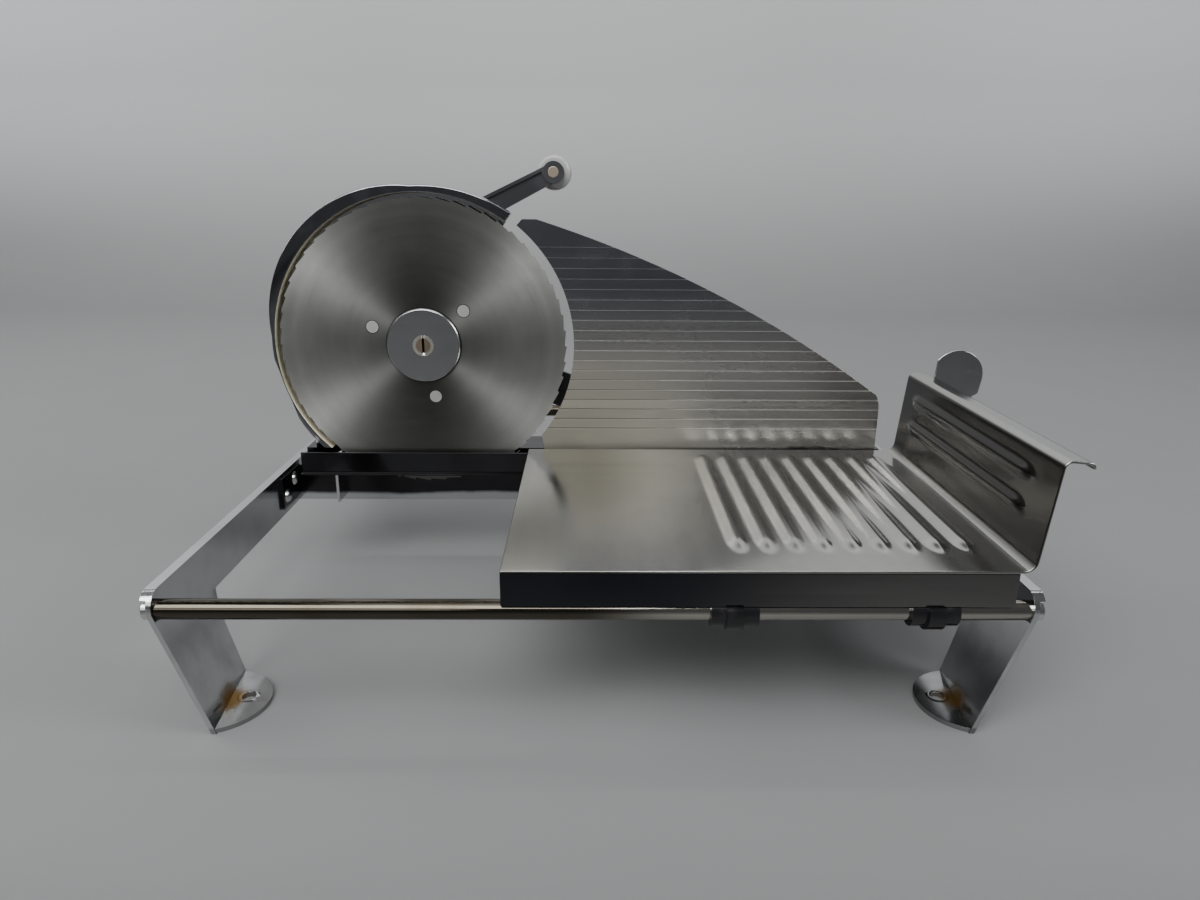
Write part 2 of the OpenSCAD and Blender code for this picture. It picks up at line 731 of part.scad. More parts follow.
module blade_gear() {
    color([0.85, 0.83, 0.76]) translate([hub_x, 0, hub_z]) difference() {
        along_y(gear_y, gear_w) rotate(mesh_angle) polygon(gear_outline(blade_gear_teeth));
        rod_along_y(0, 0, gear_y - cut, gear_w + 2 * cut, spindle_r);
        for (i = [0 : 5]) rotate([0, 60 * i, 0])
            rod_along_y(23, 0, gear_y - cut, gear_w + 2 * cut, 7);
    }
}

module crank_pinion() {
    color(ZINC) translate([crank_x, 0, crank_z]) difference() {
        union() {
            along_y(gear_y, gear_w) rotate(mesh_angle + 180 + 180 / pinion_teeth)
                polygon(gear_outline(pinion_teeth));
            rod_along_y(0, 0, gear_y + gear_w, bush_y - gear_y - gear_w - 0.3, shaft_r + 3);
        }
        rod_along_y(0, 0, gear_y - cut, gear_w + 6, shaft_r);
    }
}

module crank_shaft() {
    color(ZINC) {
        rod_along_y(crank_x, crank_z, cover_y + 1, arm_y + arm_t + 0.6 - cover_y - 1, shaft_r);
        rod_along_y(crank_x, crank_z, arm_y + arm_t, 6, 4);
    }
}

// Tapered arm with a sunk face and a round boss at each end
module crank_arm() {
    hub_r = 12.5;
    neck_r = arm_w / 2 + 2.5;
    rim = 2;
    boss_r = 7.3;
    root = [hub_r - 1, neck_r];
    color([0.26, 0.26, 0.27]) difference() {
        union() {
            translate([crank_x, 0, crank_z]) rotate([0, -arm_angle, 0]) difference() {
                along_y(arm_y, arm_t) polygon([[0, root[1]], [arm_l, arm_w / 2],
                    [arm_l, -arm_w / 2], [0, -root[1]]]);
                along_y(arm_y - cut, cut + 2.2) polygon([[root[0], root[1] - rim - 0.6],
                    [arm_l - boss_r, arm_w / 2 - rim], [arm_l - boss_r, rim - arm_w / 2],
                    [root[0], rim + 0.6 - root[1]]]);
            }
            rod_along_y(crank_x, crank_z, bush_end + 0.4, arm_y + arm_t - bush_end, hub_r);
            rod_along_y(grip_x, grip_z, arm_y - 0.8, arm_t + 0.8, boss_r);
        }
        rod_along_y(crank_x, crank_z, bush_end, arm_y + arm_t, shaft_r);
        rod_along_y(grip_x, grip_z, arm_y - 2, arm_t + 4, grip_pin_r);
    }
}

// Cap nut that holds the arm on its shaft
module crank_nut() {
    color(CHROME) difference() {
        union() {
            translate([crank_x, arm_y + arm_t + 0.6, crank_z]) rotate([-90, 0, 0])
                cylinder(h = 4.5, r = 7.5, $fn = 6);
            rod_along_y(crank_x, crank_z, arm_y + arm_t + 0.6, 7, 6);
        }
        rod_along_y(crank_x, crank_z, arm_y + arm_t, 6, 4);
    }
}

// Riveted spindle of the handle, with its end collar
module handle_spindle() {
    color([0.6, 0.52, 0.42]) {
        rod_along_y(grip_x, grip_z, arm_y - 1.1, grip_y + grip_l + 2 - arm_y + 1.1, grip_pin_r);
        rod_along_y(grip_x, grip_z, arm_y + arm_t, 2, grip_pin_r + 2.5);
        rod_along_y(grip_x, grip_z, grip_y + grip_l + 0.4, 2.2, grip_pin_r + 2.8);
    }
}

// Plastic handle that turns on the spindle
module crank_handle() {
    color([0.72, 0.72, 0.71]) translate([grip_x, grip_y, grip_z]) rotate([-90, 0, 0])
        rotate_extrude() difference() {
            union() {
                polygon([[0, 0], [grip_r - 2.2, 0], [grip_r - 0.6, 1.2], [grip_r, 10],
                    [grip_r - 0.2, 25], [grip_r - 1.2, 40], [grip_r - 1.6, grip_l - 9],
                    [grip_r - 1.6, grip_l - 6], [grip_r - 7.6, grip_l], [0, grip_l]]);
                translate([grip_r - 7.6, grip_l - 6]) circle(6);
            }
            slab([-grip_r, -cut], [grip_r + grip_pin_r + running_gap, grip_l + 2 * cut]);
        }
}

// ---------------------------------------------------------------- carriage

// Rounded-end bar standing on z = 0 of its frame, along Y
module rib(w, len, h) {
    translate([-w / 2, -len / 2 + w / 2, 0]) cube([w, len - w, h]);
    for (s = [-1, 1]) translate([0, s * (len / 2 - w / 2), 0]) cylinder(h = h, r = w / 2);
}

// Moves shapes into the wall's frame: X through the wall, Z up along it from the fold
module in_wall() {
    translate([wall_x - fold_r, 0, tray_z - tray_t + fold_r]) rotate([0, wall_lean, 0]) children();
}

// Part of a ring of sheet between two angles of at most a quarter turn
module fold(r, a0, a1) {
    intersection() {
        difference() {
            circle(r);
            circle(r - tray_t);
        }
        polygon([[0, 0], 2 * r * [cos(a0), sin(a0)],
            2 * r * [cos((a0 + a1) / 2), sin((a0 + a1) / 2)], 2 * r * [cos(a1), sin(a1)]]);
    }
}

// Tray floor and wall, one folded sheet with a rolled lip and raised ribs
module tray() {
    d = tray_rear - tray_front;
    mid_y = (tray_rear + tray_front) / 2;
    first_rib = 72;
    lip_r = 4;
    wall_l = wall_h - fold_r - lip_r;
    color(STAINLESS) {
        along_y(tray_front, d) {
            slab([-tray_left, tray_z - tray_t], [tray_left + wall_x - fold_r, tray_t]);
            translate([wall_x - fold_r, tray_z - tray_t + fold_r]) fold(fold_r, -90, -wall_lean);
        }
        in_wall() along_y(tray_front, d) {
            slab([fold_r - tray_t, 0], [tray_t, wall_l]);
            translate([fold_r - tray_t + lip_r, wall_l]) fold(lip_r, 90, 180);
            slab([fold_r - tray_t + lip_r, wall_l + lip_r - tray_t], [lip_w - lip_r, tray_t]);
            translate([fold_r - tray_t + lip_w, wall_l + lip_r - 3]) fold(3, 0, 90);
        }
        for (i = [0 : tray_ribs - 1])
            translate([first_rib + i * rib_pitch, mid_y + 5, tray_z - 0.2])
                rib(rib_w, d - 50, rib_h + 0.2);
        in_wall() for (z = [18, 35]) translate([fold_r - tray_t + 0.2, mid_y + 3, z])
            rotate([0, -90, 0]) rib(7, d - 46, rib_h + 0.2);
    }
}

// Apron under the tray's front edge, with the flange welded under the tray and a left return
module carriage_apron() {
    under = tray_z - tray_t;
    w = tray_left + apron_right;
    color(CHROME) {
        translate([-tray_left, tray_front, tray_z - apron_h]) cube([w, tray_t, apron_h - tray_t]);
        translate([-tray_left, tray_front, under - tray_t]) cube([w, 20, tray_t]);
        translate([-tray_left, tray_front, tray_z - apron_h + 2.4])
            cube([tray_t, 20, apron_h - tray_t - 2.4]);
        translate([-tray_left, tray_front, under - 8])
            cube([tray_t, rail_front - rail_lip - 4 - tray_front, 8]);
    }
}

// Two plastic clips that run on the front rod
module guide_clips() {
    body_r = 7.6;
    tab_r = 9.4;
    top_z = tray_z - 2 * tray_t;
    color(BLACK) for (x = [clip_left_x, clip_right_x]) difference() {
        union() {
            rod_along_x(-rod_y, rod_z, x - clip_w / 2, clip_w, body_r);
            rod_along_x(-rod_y, rod_z, x - 4.2, 8.4, tab_r);
            translate([x - clip_w / 2, tray_front + tray_t, rod_z])
                cube([clip_w, 15, top_z - rod_z]);
        }
        rod_along_x(-rod_y, rod_z, x - clip_w, 2 * clip_w, rod_r + clip_gap);
        translate([x - clip_w, tray_front - 9, tray_z - apron_h - 0.2])
            cube([2 * clip_w, 9 + tray_t, 30]);
    }
}

// Plastic shoes under the tray's rear edge that hook over the rail
module rail_shoes() {
    shoe_gap = 0.3;
    under = tray_z - tray_t;
    color(BLACK) for (x = [-12, 150])
        translate([x - 13, 0, 0]) {
            translate([0, rail_front - 6, rail_low_z + rail_t + 3])
                cube([26, 6 - shoe_gap, under - rail_low_z - rail_t - 3]);
            translate([0, rail_front - 6, rail_top_z + shoe_gap])
                cube([26, 6 + tray_rear - rail_front, under - rail_top_z - shoe_gap]);
        }
}

// Round guard at the wall's rear end, on a flange welded to the wall's outer face
module thumb_guard() {
    t = 1.4;
    y = tray_rear - 5;
    reach = 29;
    centre = 51;
    color(CHROME) in_wall() {
        along_y(y, t) difference() {
            union() {
                translate([fold_r + reach, centre]) circle(thumb_r);
                polygon([[fold_r + reach - thumb_r, centre], [fold_r + 8, centre - 8],
                    [fold_r, centre - 20], [fold_r, centre - 38], [fold_r + 9, centre - 38],
                    [fold_r + reach + thumb_r - 0.6, centre - 10], [fold_r + reach + thumb_r, centre]]);
            }
            slab([0, wall_h - fold_r - 5], [fold_r + lip_w + 3.5 - tray_t, 30]);
        }
        along_x(fold_r, t) slab([y - 16, centre - 36], [16 + t, 16]);
    }
}

// ---------------------------------------------------------------- thickness plate

// Outline of the plate, with its sloping top and the round cut-out for the blade
module plate_outline() {
    top_left = [hub_x + 75.5, hub_z + 81.2];
    slope_r = 786;
    corner_r = 22;
    right_z = hub_z - 44;
    difference() {
        intersection() {
            polygon([[hub_x + 79, plate_low_z], [plate_right, plate_low_z], [plate_right, right_z],
                [plate_right, hub_z + 90], top_left, [top_left[0] - 9, top_left[1]],
                [top_left[0] - 13.5, top_left[1] - 5], [hub_x + 60, hub_z + 60]]);
            translate([hub_x - 154.5, hub_z - 670.3]) circle(slope_r, $fn = 360);
            union() {
                translate([plate_right - corner_r, right_z]) circle(corner_r);
                slab([hub_x, plate_low_z], [plate_right - hub_x, right_z - plate_low_z]);
                polygon([[hub_x, right_z - 1], [plate_right - corner_r, right_z - 1],
                    [plate_right - corner_r * 0.42, right_z + corner_r * 0.82],
                    [hub_x + 200, hub_z + 120], [hub_x, hub_z + 200]]);
            }
        }
        translate([hub_x, hub_z]) circle(cutout_r);
    }
}

module gauge_plate() {
    groove_w = 0.4;
    groove_d = 0.25;
    first_z = sill_z + 15.9;
    color(CHROME) difference() {
        along_y(plate_y, plate_t) plate_outline();
        for (i = [0 : plate_grooves - 1])
            translate([hub_x, plate_y - cut, first_z + i * groove_pitch])
                cube([400, cut + groove_d, groove_w]);
    }
}

// Bracket on the plate's back, with the nut tube of the adjuster
module plate_carrier() {
    back = plate_y + plate_t;
    tube_end = support_back - bracket_t - plate_travel - 0.4;
    w = guide_pin_gap + 22;
    color(ZINC) difference() {
        union() {
            translate([support_x - w / 2, back, plate_low_z + 4])
                cube([w, 2.6, support_z - plate_low_z + 8]);
            rod_along_y(support_x, support_z, back, tube_end - back, 7);
        }
        rod_along_y(support_x, support_z, back + 1, tube_end, guide_pin_r + running_gap);
    }
}

// Pins fixed in the plate's bracket that slide in the support
module guide_pins() {
    y0 = plate_y + plate_t + 2.6;
    color(ZINC) for (s = [-1, 1])
        rod_along_y(support_x + s * guide_pin_gap / 2, support_z, y0, support_back + 8 - y0,
            guide_pin_r);
}

// Threaded spindle that draws the plate back, held in the support's rear wall
module adjuster_spindle() {
    front = plate_y + plate_t + plate_travel + 1.2;
    back = support_back;
    color(ZINC) {
        rod_along_y(support_x, support_z, front, back + 16 - front, guide_pin_r);
        rod_along_y(support_x, support_z, back + 0.3, 1.5, guide_pin_r + 3);
    }
}

module adjuster_knob() {
    y0 = support_back + 1.8;
    grips = 18;
    color(BLACK) difference() {
        union() {
            rod_along_y(support_x, support_z, y0, 14.2, knob_r);
            rod_along_y(support_x, support_z, y0, 16, knob_r - 5);
        }
        for (i = [0 : grips - 1]) rotate_about_knob(i * 360 / grips)
            rod_along_y(support_x + knob_r + 0.8, support_z, y0 + 3, 20, 1.9);
        rod_along_y(support_x, support_z, y0 - cut, 15.2, guide_pin_r);
        rod_along_y(support_x, support_z, y0, 20, 2);
    }
}

// Turns a shape about the thickness knob's axis
module rotate_about_knob(a) {
    translate([support_x, 0, support_z]) rotate([0, a, 0]) translate([-support_x, 0, -support_z])
        children();
}

// Screw in the middle of the thickness knob
module knob_screw() {
    y0 = support_back + 1.8 + 16;
    color(ZINC) {
        rod_along_y(support_x, support_z, y0, 2, 4.2);
        rod_along_y(support_x, support_z, y0 - 1.8, 1.8, 2);
    }
}

left_side_frame();
right_side_frame();
front_rod();
rear_rod();
rod_nuts();
crossbar();
carriage_rail();
rail_brackets();
frame_bolts();
frame_nuts();
blade_guard();
guard_bolts();
gear_cover();
cover_screws();
spindle_bush();
crank_bush();
slice_deflector();
gauge_support();
support_screws();
blade();
clamp_disc();
clamp_screw();
drive_pins();
drive_flange();
blade_spindle();
blade_gear();
spindle_ring();
crank_shaft();
crank_pinion();
crank_arm();
crank_nut();
handle_spindle();
crank_handle();
tray();
carriage_apron();
guide_clips();
rail_shoes();
thumb_guard();
gauge_plate();
plate_carrier();
guide_pins();
adjuster_spindle();
adjuster_knob();
knob_screw();
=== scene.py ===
"""Looks of a hand-cranked kitchen slicer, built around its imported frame.

Lengths are metres in the frame's axes: X along the carriage travel, Y away from the food side, Z up.
"""

import json
import logging
import math

from collections.abc import Callable, Sequence
from dataclasses import dataclass, field
from enum import Enum

import bmesh
import bpy
from mathutils import Matrix, Vector


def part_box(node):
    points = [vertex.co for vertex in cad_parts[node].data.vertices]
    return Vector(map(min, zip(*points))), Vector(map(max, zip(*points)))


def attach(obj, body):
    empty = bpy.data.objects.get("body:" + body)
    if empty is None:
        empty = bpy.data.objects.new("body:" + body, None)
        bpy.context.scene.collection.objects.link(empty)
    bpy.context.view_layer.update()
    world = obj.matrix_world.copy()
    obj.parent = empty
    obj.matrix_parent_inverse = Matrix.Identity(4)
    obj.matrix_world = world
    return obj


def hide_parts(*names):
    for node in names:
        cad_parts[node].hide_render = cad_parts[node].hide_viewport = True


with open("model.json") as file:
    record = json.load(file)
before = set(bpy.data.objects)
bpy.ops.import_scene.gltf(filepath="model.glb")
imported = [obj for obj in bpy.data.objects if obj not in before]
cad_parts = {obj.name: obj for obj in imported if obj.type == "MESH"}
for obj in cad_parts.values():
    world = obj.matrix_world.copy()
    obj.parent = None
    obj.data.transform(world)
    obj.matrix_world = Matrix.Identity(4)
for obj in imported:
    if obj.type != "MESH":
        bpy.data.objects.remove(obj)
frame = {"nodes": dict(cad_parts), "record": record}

LOG = logging.getLogger("slicer")
MM = 0.001
Colour = tuple[float, float, float]
Setting = str | float | int | bool


# ---------------------------------------------------------------- shader maths


class Signal:
    """A shader socket that takes part in Python expressions."""

    def __init__(self, tree: bpy.types.NodeTree, socket: bpy.types.NodeSocket) -> None:
        """Wraps an output socket of a node tree."""
        self.tree = tree
        self.socket = socket

    def math(self, operation: str, *others: "Signal | float") -> "Signal":
        """Adds a Math node with this signal as its first value.

        Args:
            operation: The Math node's operation.
            others: The node's further values.

        Returns:
            The node's result.
        """
        node = self.tree.nodes.new("ShaderNodeMath")
        node.operation = operation
        for index, value in enumerate((self, *others)):
            if isinstance(value, Signal):
                self.tree.links.new(value.socket, node.inputs[index])
            else:
                node.inputs[index].default_value = value
        return Signal(self.tree, node.outputs[0])

    def _flipped(self, operation: str, first: float) -> "Signal":
        """Adds a Math node that has a plain number as its first value."""
        node = self.tree.nodes.new("ShaderNodeMath")
        node.operation = operation
        node.inputs[0].default_value = first
        self.tree.links.new(self.socket, node.inputs[1])
        return Signal(self.tree, node.outputs[0])

    def __add__(self, other: "Signal | float") -> "Signal":
        """This signal plus another."""
        return self.math("ADD", other)

    def __radd__(self, other: float) -> "Signal":
        """A number plus this signal."""
        return self.math("ADD", other)

    def __sub__(self, other: "Signal | float") -> "Signal":
        """This signal less another."""
        return self.math("SUBTRACT", other)

    def __rsub__(self, other: float) -> "Signal":
        """A number less this signal."""
        return self._flipped("SUBTRACT", other)

    def __mul__(self, other: "Signal | float") -> "Signal":
        """This signal times another."""
        return self.math("MULTIPLY", other)

    def __rmul__(self, other: float) -> "Signal":
        """A number times this signal."""
        return self.math("MULTIPLY", other)

    def __truediv__(self, other: "Signal | float") -> "Signal":
        """This signal over another."""
        return self.math("DIVIDE", other)

    def __rtruediv__(self, other: float) -> "Signal":
        """A number over this signal."""
        return self._flipped("DIVIDE", other)

    def ramp(self, low: float, high: float) -> "Signal":
        """Runs smoothly from 0 at low to 1 at high.

        Args:
            low: The value that gives 0.
            high: The value that gives 1.

        Returns:
            The eased signal.
        """
        node = self.tree.nodes.new("ShaderNodeMapRange")
        node.interpolation_type = "SMOOTHSTEP"
        node.inputs["From Min"].default_value = low
        node.inputs["From Max"].default_value = high
        self.tree.links.new(self.socket, node.inputs["Value"])
        return Signal(self.tree, node.outputs["Result"])

    def band(self, centre: float, half_width: float, edge: float) -> "Signal":
        """Is 1 within half_width of centre and falls to 0 over edge beyond it."""
        distance = (self - centre).math("ABSOLUTE")
        return 1.0 - distance.ramp(half_width, half_width + edge)


class Shader:
    """Builds one material around a Principled shader."""

    def __init__(self, name: str) -> None:
        """Makes an empty material of that name."""
        self.material = bpy.data.materials.new(name)
        self.material.use_nodes = True
        self.tree = self.material.node_tree
        self.tree.nodes.clear()
        self.output = self.tree.nodes.new("ShaderNodeOutputMaterial")
        self.main = self.tree.nodes.new("ShaderNodeBsdfPrincipled")
        self.tree.links.new(self.main.outputs[0], self.output.inputs["Surface"])
        self._place: Signal | None = None

    def node(
        self,
        kind: str,
        settings: dict[str, Setting] | None = None,
        sockets: "dict[str | int, Signal | float | Sequence[float]] | None" = None,
        output: str | int = 0,
    ) -> Signal:
        """Adds any node.

        Args:
            kind: The node's type without its ShaderNode prefix.
            settings: The node's own settings.
            sockets: Values or links of its inputs.
            output: The output that is handed back.

        Returns:
            The chosen output as a signal.
        """
        node = self.tree.nodes.new(f"ShaderNode{kind}")
        for key, value in (settings or {}).items():
            setattr(node, key, value)
        for key, value in (sockets or {}).items():
            self._feed(node.inputs[key], value)
        return Signal(self.tree, node.outputs[output])

    def _feed(self, socket: bpy.types.NodeSocket, value: "Signal | float | Sequence[float]") -> None:
        """Links a signal to a socket, or sets the socket's own value."""
        if isinstance(value, Signal):
            self.tree.links.new(value.socket, socket)
        elif isinstance(value, (int, float)):
            socket.default_value = value
        else:
            size = len(socket.default_value)
            socket.default_value = (*value, 1.0)[:size]

    def place(self) -> Signal:
        """The point in object coordinates."""
        if self._place is None:
            self._place = self.node("TexCoord", output="Object")
        return self._place

    def axis(self, name: str) -> Signal:
        """One of the point's coordinates, X, Y or Z."""
        return self.node("SeparateXYZ", sockets={0: self.place()}, output=name)

    def mapped(self, scale: Sequence[float], shift: Sequence[float] = (0, 0, 0)) -> Signal:
        """The point in object coordinates, shifted and then scaled."""
        moved = self.node("VectorMath", {"operation": "ADD"}, {0: self.place(), 1: tuple(shift)})
        return self.node("VectorMath", {"operation": "MULTIPLY"}, {0: moved, 1: tuple(scale)})

    def noise(
        self, scale: float | Sequence[float], detail: float = 3.0, rough: float = 0.55, shift: float = 0.0
    ) -> Signal:
        """Noise over the surface.

        Args:
            scale: Features per metre, one number or one for each axis.
            detail: The number of octaves.
            rough: How much the finer octaves count.
            shift: An offset that gives a different pattern.

        Returns:
            Values around 0.5.
        """
        scales = (scale,) * 3 if isinstance(scale, (int, float)) else tuple(scale)
        where = self.mapped(scales, (shift, shift, shift))
        sockets = {"Vector": where, "Scale": 1.0, "Detail": detail, "Roughness": rough}
        return self.node("TexNoise", None, sockets)

    def blend(self, first: "Signal | Colour", second: "Signal | Colour", amount: "Signal | float") -> Signal:
        """Mixes two colours.

        Args:
            first: The colour at an amount of 0.
            second: The colour at an amount of 1.
            amount: How much of the second shows.

        Returns:
            The mixed colour.
        """
        node = self.tree.nodes.new("ShaderNodeMix")
        node.data_type = "RGBA"
        self._feed(node.inputs["Factor"], amount)
        self._feed(node.inputs["A"], first)
        self._feed(node.inputs["B"], second)
        return Signal(self.tree, node.outputs["Result"])

    def set(self, **values: "Signal | float | Sequence[float]") -> None:
        """Sets inputs of the Principled shader; an underscore in a name stands for a space."""
        for key, value in values.items():
            self._feed(self.main.inputs[key.replace("_", " ")], value)

    def bump(self, height: Signal, depth: float) -> None:
        """Feeds the shader's normal from a height.

        Args:
            height: The height signal, from 0 to 1.
            depth: The height in metres that 1 stands for.
        """
        normal = self.node("Bump", None, {"Height": height, "Distance": depth, "Strength": 1.0})
        self._feed(self.main.inputs["Normal"], normal)


# ---------------------------------------------------------------- finishes


class Grain(Enum):
    """Direction of a metal's fine scratches."""

    ALONG_X = (6.0, 900.0, 900.0)
    ALONG_Y = (900.0, 6.0, 900.0)
    NONE = (240.0, 240.0, 240.0)


@dataclass(frozen=True)
class Metal:
    """A bare or plated metal with smears, fine scratches and dull spots.

    Attributes:
        name: The material's name.
        colour: The clean metal's reflection.
        stain: The colour of its dull patches.
        rough: The roughness of the clean metal.
        smear: How much rougher the smeared parts are.
        grain: The direction of the scratches.
        scratch: Depth of the scratches in metres.
        specks: How many small dull spots there are, from 0 to 1.
        wave: Depth in metres of the sheet's slow unevenness.
        mottle: How strongly the dull patches show, from 0 to 1.
    """

    name: str
    colour: Colour
    stain: Colour
    rough: float
    smear: float = 0.1
    grain: Grain = Grain.NONE
    scratch: float = 0.000004
    specks: float = 0.2
    wave: float = 0.0
    mottle: float = 0.35

    def tone(self, shader: Shader, clean: Signal) -> Signal:
        """The colour over the piece; a finish with its own marks adds them here."""
        return clean

    def dulling(self, shader: Shader, rough: Signal) -> Signal:
        """The roughness over the piece; a finish with its own marks adds them here."""
        return rough

    def sheen(self, shader: Shader) -> "Signal | float":
        """How metallic the piece is; a finish with painted parts lowers it there."""
        return 1.0

    def build(self) -> Shader:
        """Makes the material and hands its shader back for additions."""
        shader = Shader(self.name)
        patches = shader.noise(38.0, 4.0).ramp(0.42, 0.72)
        wipes = shader.noise([s * 0.12 for s in self.grain.value], 3.0, shift=0.31).ramp(0.4, 0.75)
        lines = shader.noise(self.grain.value, 2.0, shift=0.7)
        spots = shader.noise(520.0, 2.0, shift=1.3).ramp(0.74 - 0.1 * self.specks, 0.8)
        marks = patches * self.mottle + wipes * (0.4 * self.mottle) + spots * (0.5 * self.specks)
        shader.set(Base_Color=self.tone(shader, shader.blend(self.colour, self.stain, marks)))
        uneven = patches * self.mottle + wipes * 0.5 + spots * self.specks
        rough = self.dulling(shader, uneven * self.smear + self.rough)
        shader.set(Roughness=rough, Metallic=self.sheen(shader))
        height = lines * 0.5
        if self.wave:
            slow = shader.noise(26.0, 1.0, shift=2.1)
            height = height + slow * (self.wave / self.scratch)
        shader.bump(height, self.scratch)
        return shader


@dataclass(frozen=True)
class FootedChrome(Metal):
    """Chromed sheet of the side frames, rusted where each foot is bent from its leg.

    Attributes:
        rust: The colour of the rust.
        dull: The colour of the bloomed legs, and of the painted shade on the feet.
        foot_x: Distance of the rust's middle from the stand's middle, across.
        foot_y: The same distance, front to back.
    """

    rust: Colour = (0.27, 0.165, 0.06)
    dull: Colour = (0.2, 0.2, 0.197)
    foot_x: float = 0.191
    foot_y: float = 0.171

    def _rusted(self, shader: Shader) -> Signal:
        """Where the rust lies."""
        along = shader.axis("Y").math("ABSOLUTE").band(self.foot_y, 0.002, 0.014)
        low = 1.0 - shader.axis("Z").ramp(0.002, 0.017)
        across = shader.axis("X").math("ABSOLUTE").band(self.foot_x, 0.001, 0.011)
        return (along * low * across * (shader.noise(110.0, 3.0, shift=5.0) + 0.6)).ramp(0.05, 1.1)

    def tone(self, shader: Shader, clean: Signal) -> Signal:
        """Adds the rust, a grey bloom low on the legs and painted shade on the feet."""
        bloom = shader.noise(60.0, 3.0, shift=3.3).ramp(0.35, 0.8) * (1.0 - shader.axis("Z").ramp(0.03, 0.06))
        # Painted shade on the feet, which would otherwise mirror the bright lamps and paper above.
        foot = 1.0 - shader.axis("Z").ramp(0.0025, 0.004)
        dimmed = shader.blend(clean, self.dull, bloom * 0.35 + foot * 0.6)
        return shader.blend(dimmed, self.rust, self._rusted(shader))

    def dulling(self, shader: Shader, rough: Signal) -> Signal:
        """Makes the rust matt."""
        return rough + self._rusted(shader) * 0.3


@dataclass(frozen=True)
class GuardChrome(Metal):
    """Chrome of the blade guard, bare and yellowed inside its round mouth, with a painted dark reflection on
    its front edge.

    Attributes:
        hub: The blade axis's place in X and Z.
        mouth: The mouth's radius.
        front_y: Where the guard's front edge lies.
        deep: The colour of the painted reflection of the dim room on the front edge.
        bare: The yellowed colour of the mouth's wall.
        crumb: The colour of the old grease on it, also blended in towards the wall's top.
    """

    hub: tuple[float, float] = (0.0, 0.0)
    mouth: float = 0.1
    front_y: float = 0.0
    deep: Colour = (0.2, 0.2, 0.215)
    bare: Colour = (0.6, 0.56, 0.4)
    crumb: Colour = (0.16, 0.11, 0.05)

    def _inside(self, shader: Shader) -> Signal:
        """Where the mouth's wall lies."""
        across = shader.axis("X") - self.hub[0]
        up = shader.axis("Z") - self.hub[1]
        reach = (across * across + up * up).math("SQRT")
        return reach.band(self.mouth, 0.15 * MM, 0.15 * MM)

    def tone(self, shader: Shader, clean: Signal) -> Signal:
        """Paints the wall warm, with brown crumbs of old grease and darker towards its top, and a painted
        dark reflection on the front edge.
        """
        crumbs = shader.noise(300.0, 4.0, shift=4.0).ramp(0.5, 0.72)
        high = shader.axis("Z").ramp(self.hub[1] + 0.05, self.hub[1] + 0.09)
        wall = shader.blend(self.bare, self.crumb, crumbs * 0.5 + high * 0.35)
        # Painted reflection of the dim room: the front edge is darkened, broken up by uneven patches.
        rim = 1.0 - shader.axis("Y").ramp(self.front_y + 0.3 * MM, self.front_y + 1.2 * MM)
        smeared = shader.noise(70.0, 4.0, shift=4.6).ramp(0.45, 0.8)
        face = shader.blend(clean, self.deep, rim * (0.92 - smeared * 0.3))
        return shader.blend(face, wall, self._inside(shader))

    def dulling(self, shader: Shader, rough: Signal) -> Signal:
        """Makes the wall matt."""
        return rough + self._inside(shader) * 0.42

    def sheen(self, shader: Shader) -> Signal:
        """Bare casting in place of chrome on the wall."""
        return 1.0 - self._inside(shader) * 0.9


@dataclass(frozen=True)
class TraySteel(Metal):
    """Satin steel of the tray, with painted shade on the wall and on the floor's left part, and the mark of a
    dried puddle on the floor.

    Attributes:
        wall_x: Where the wall begins.
        inner: How far the wall's inner face lies from the fold's middle line.
        lean_deg: The wall's outward lean.
        fold: X and Z of that middle line.
        corner: X and Y of the tray's front left corner.
        mark: Distance of the mark's middle from that corner in X and Y, and the mark's radius.
        dried: The mark's colour.
        bare: The colour of the painted shade on the floor beside the blade.
        shaded: The colour of the painted shade on the wall's inner face.
    """

    wall_x: float = 0.203
    inner: float = 5.8 * MM
    lean_deg: float = 5.5
    fold: tuple[float, float] = (0.201, 0.095)
    corner: tuple[float, float] = (0.0, 0.0)
    mark: tuple[float, float, float] = (-0.05, 0.045, 0.078)
    dried: Colour = (0.72, 0.71, 0.66)
    bare: Colour = (0.17, 0.168, 0.156)
    shaded: Colour = (0.035, 0.035, 0.033)

    def tone(self, shader: Shader, clean: Signal) -> Signal:
        """Paints shade on the wall and on the floor's left part, and draws the round edge of a dried puddle.
        """
        lean = math.radians(self.lean_deg)
        beyond = (shader.axis("X") - self.fold[0]) * math.cos(lean)
        out = beyond - (shader.axis("Z") - self.fold[1]) * math.sin(lean)
        # Painted shade on the wall's inner face.
        wall = shader.axis("X").ramp(self.wall_x, self.wall_x + 0.004) * (
            1.0 - out.ramp(self.inner + 0.2 * MM, self.inner + 0.9 * MM)
        )
        across = shader.axis("X") - (self.corner[0] + self.mark[0])
        along = shader.axis("Y") - (self.corner[1] + self.mark[1])
        wander = shader.noise(45.0, 3.0, shift=11.0) * 0.006
        reach = (across * across + along * along).math("SQRT") + wander - 0.003
        edge = reach.band(self.mark[2], 0.2 * MM, 0.5 * MM) * 0.4
        milky = (1.0 - reach.ramp(self.mark[2] - 0.001, self.mark[2])) * 0.12
        marked = shader.blend(clean, self.dried, edge + milky)
        # Painted shade on the floor's left part beside the blade, over its reflection of the plate.
        left = 1.0 - shader.axis("X").ramp(self.corner[0] + 0.04, self.corner[0] + 0.09)
        dimmed = shader.blend(marked, self.bare, left * 0.9)
        return shader.blend(dimmed, self.shaded, wall * 0.95)


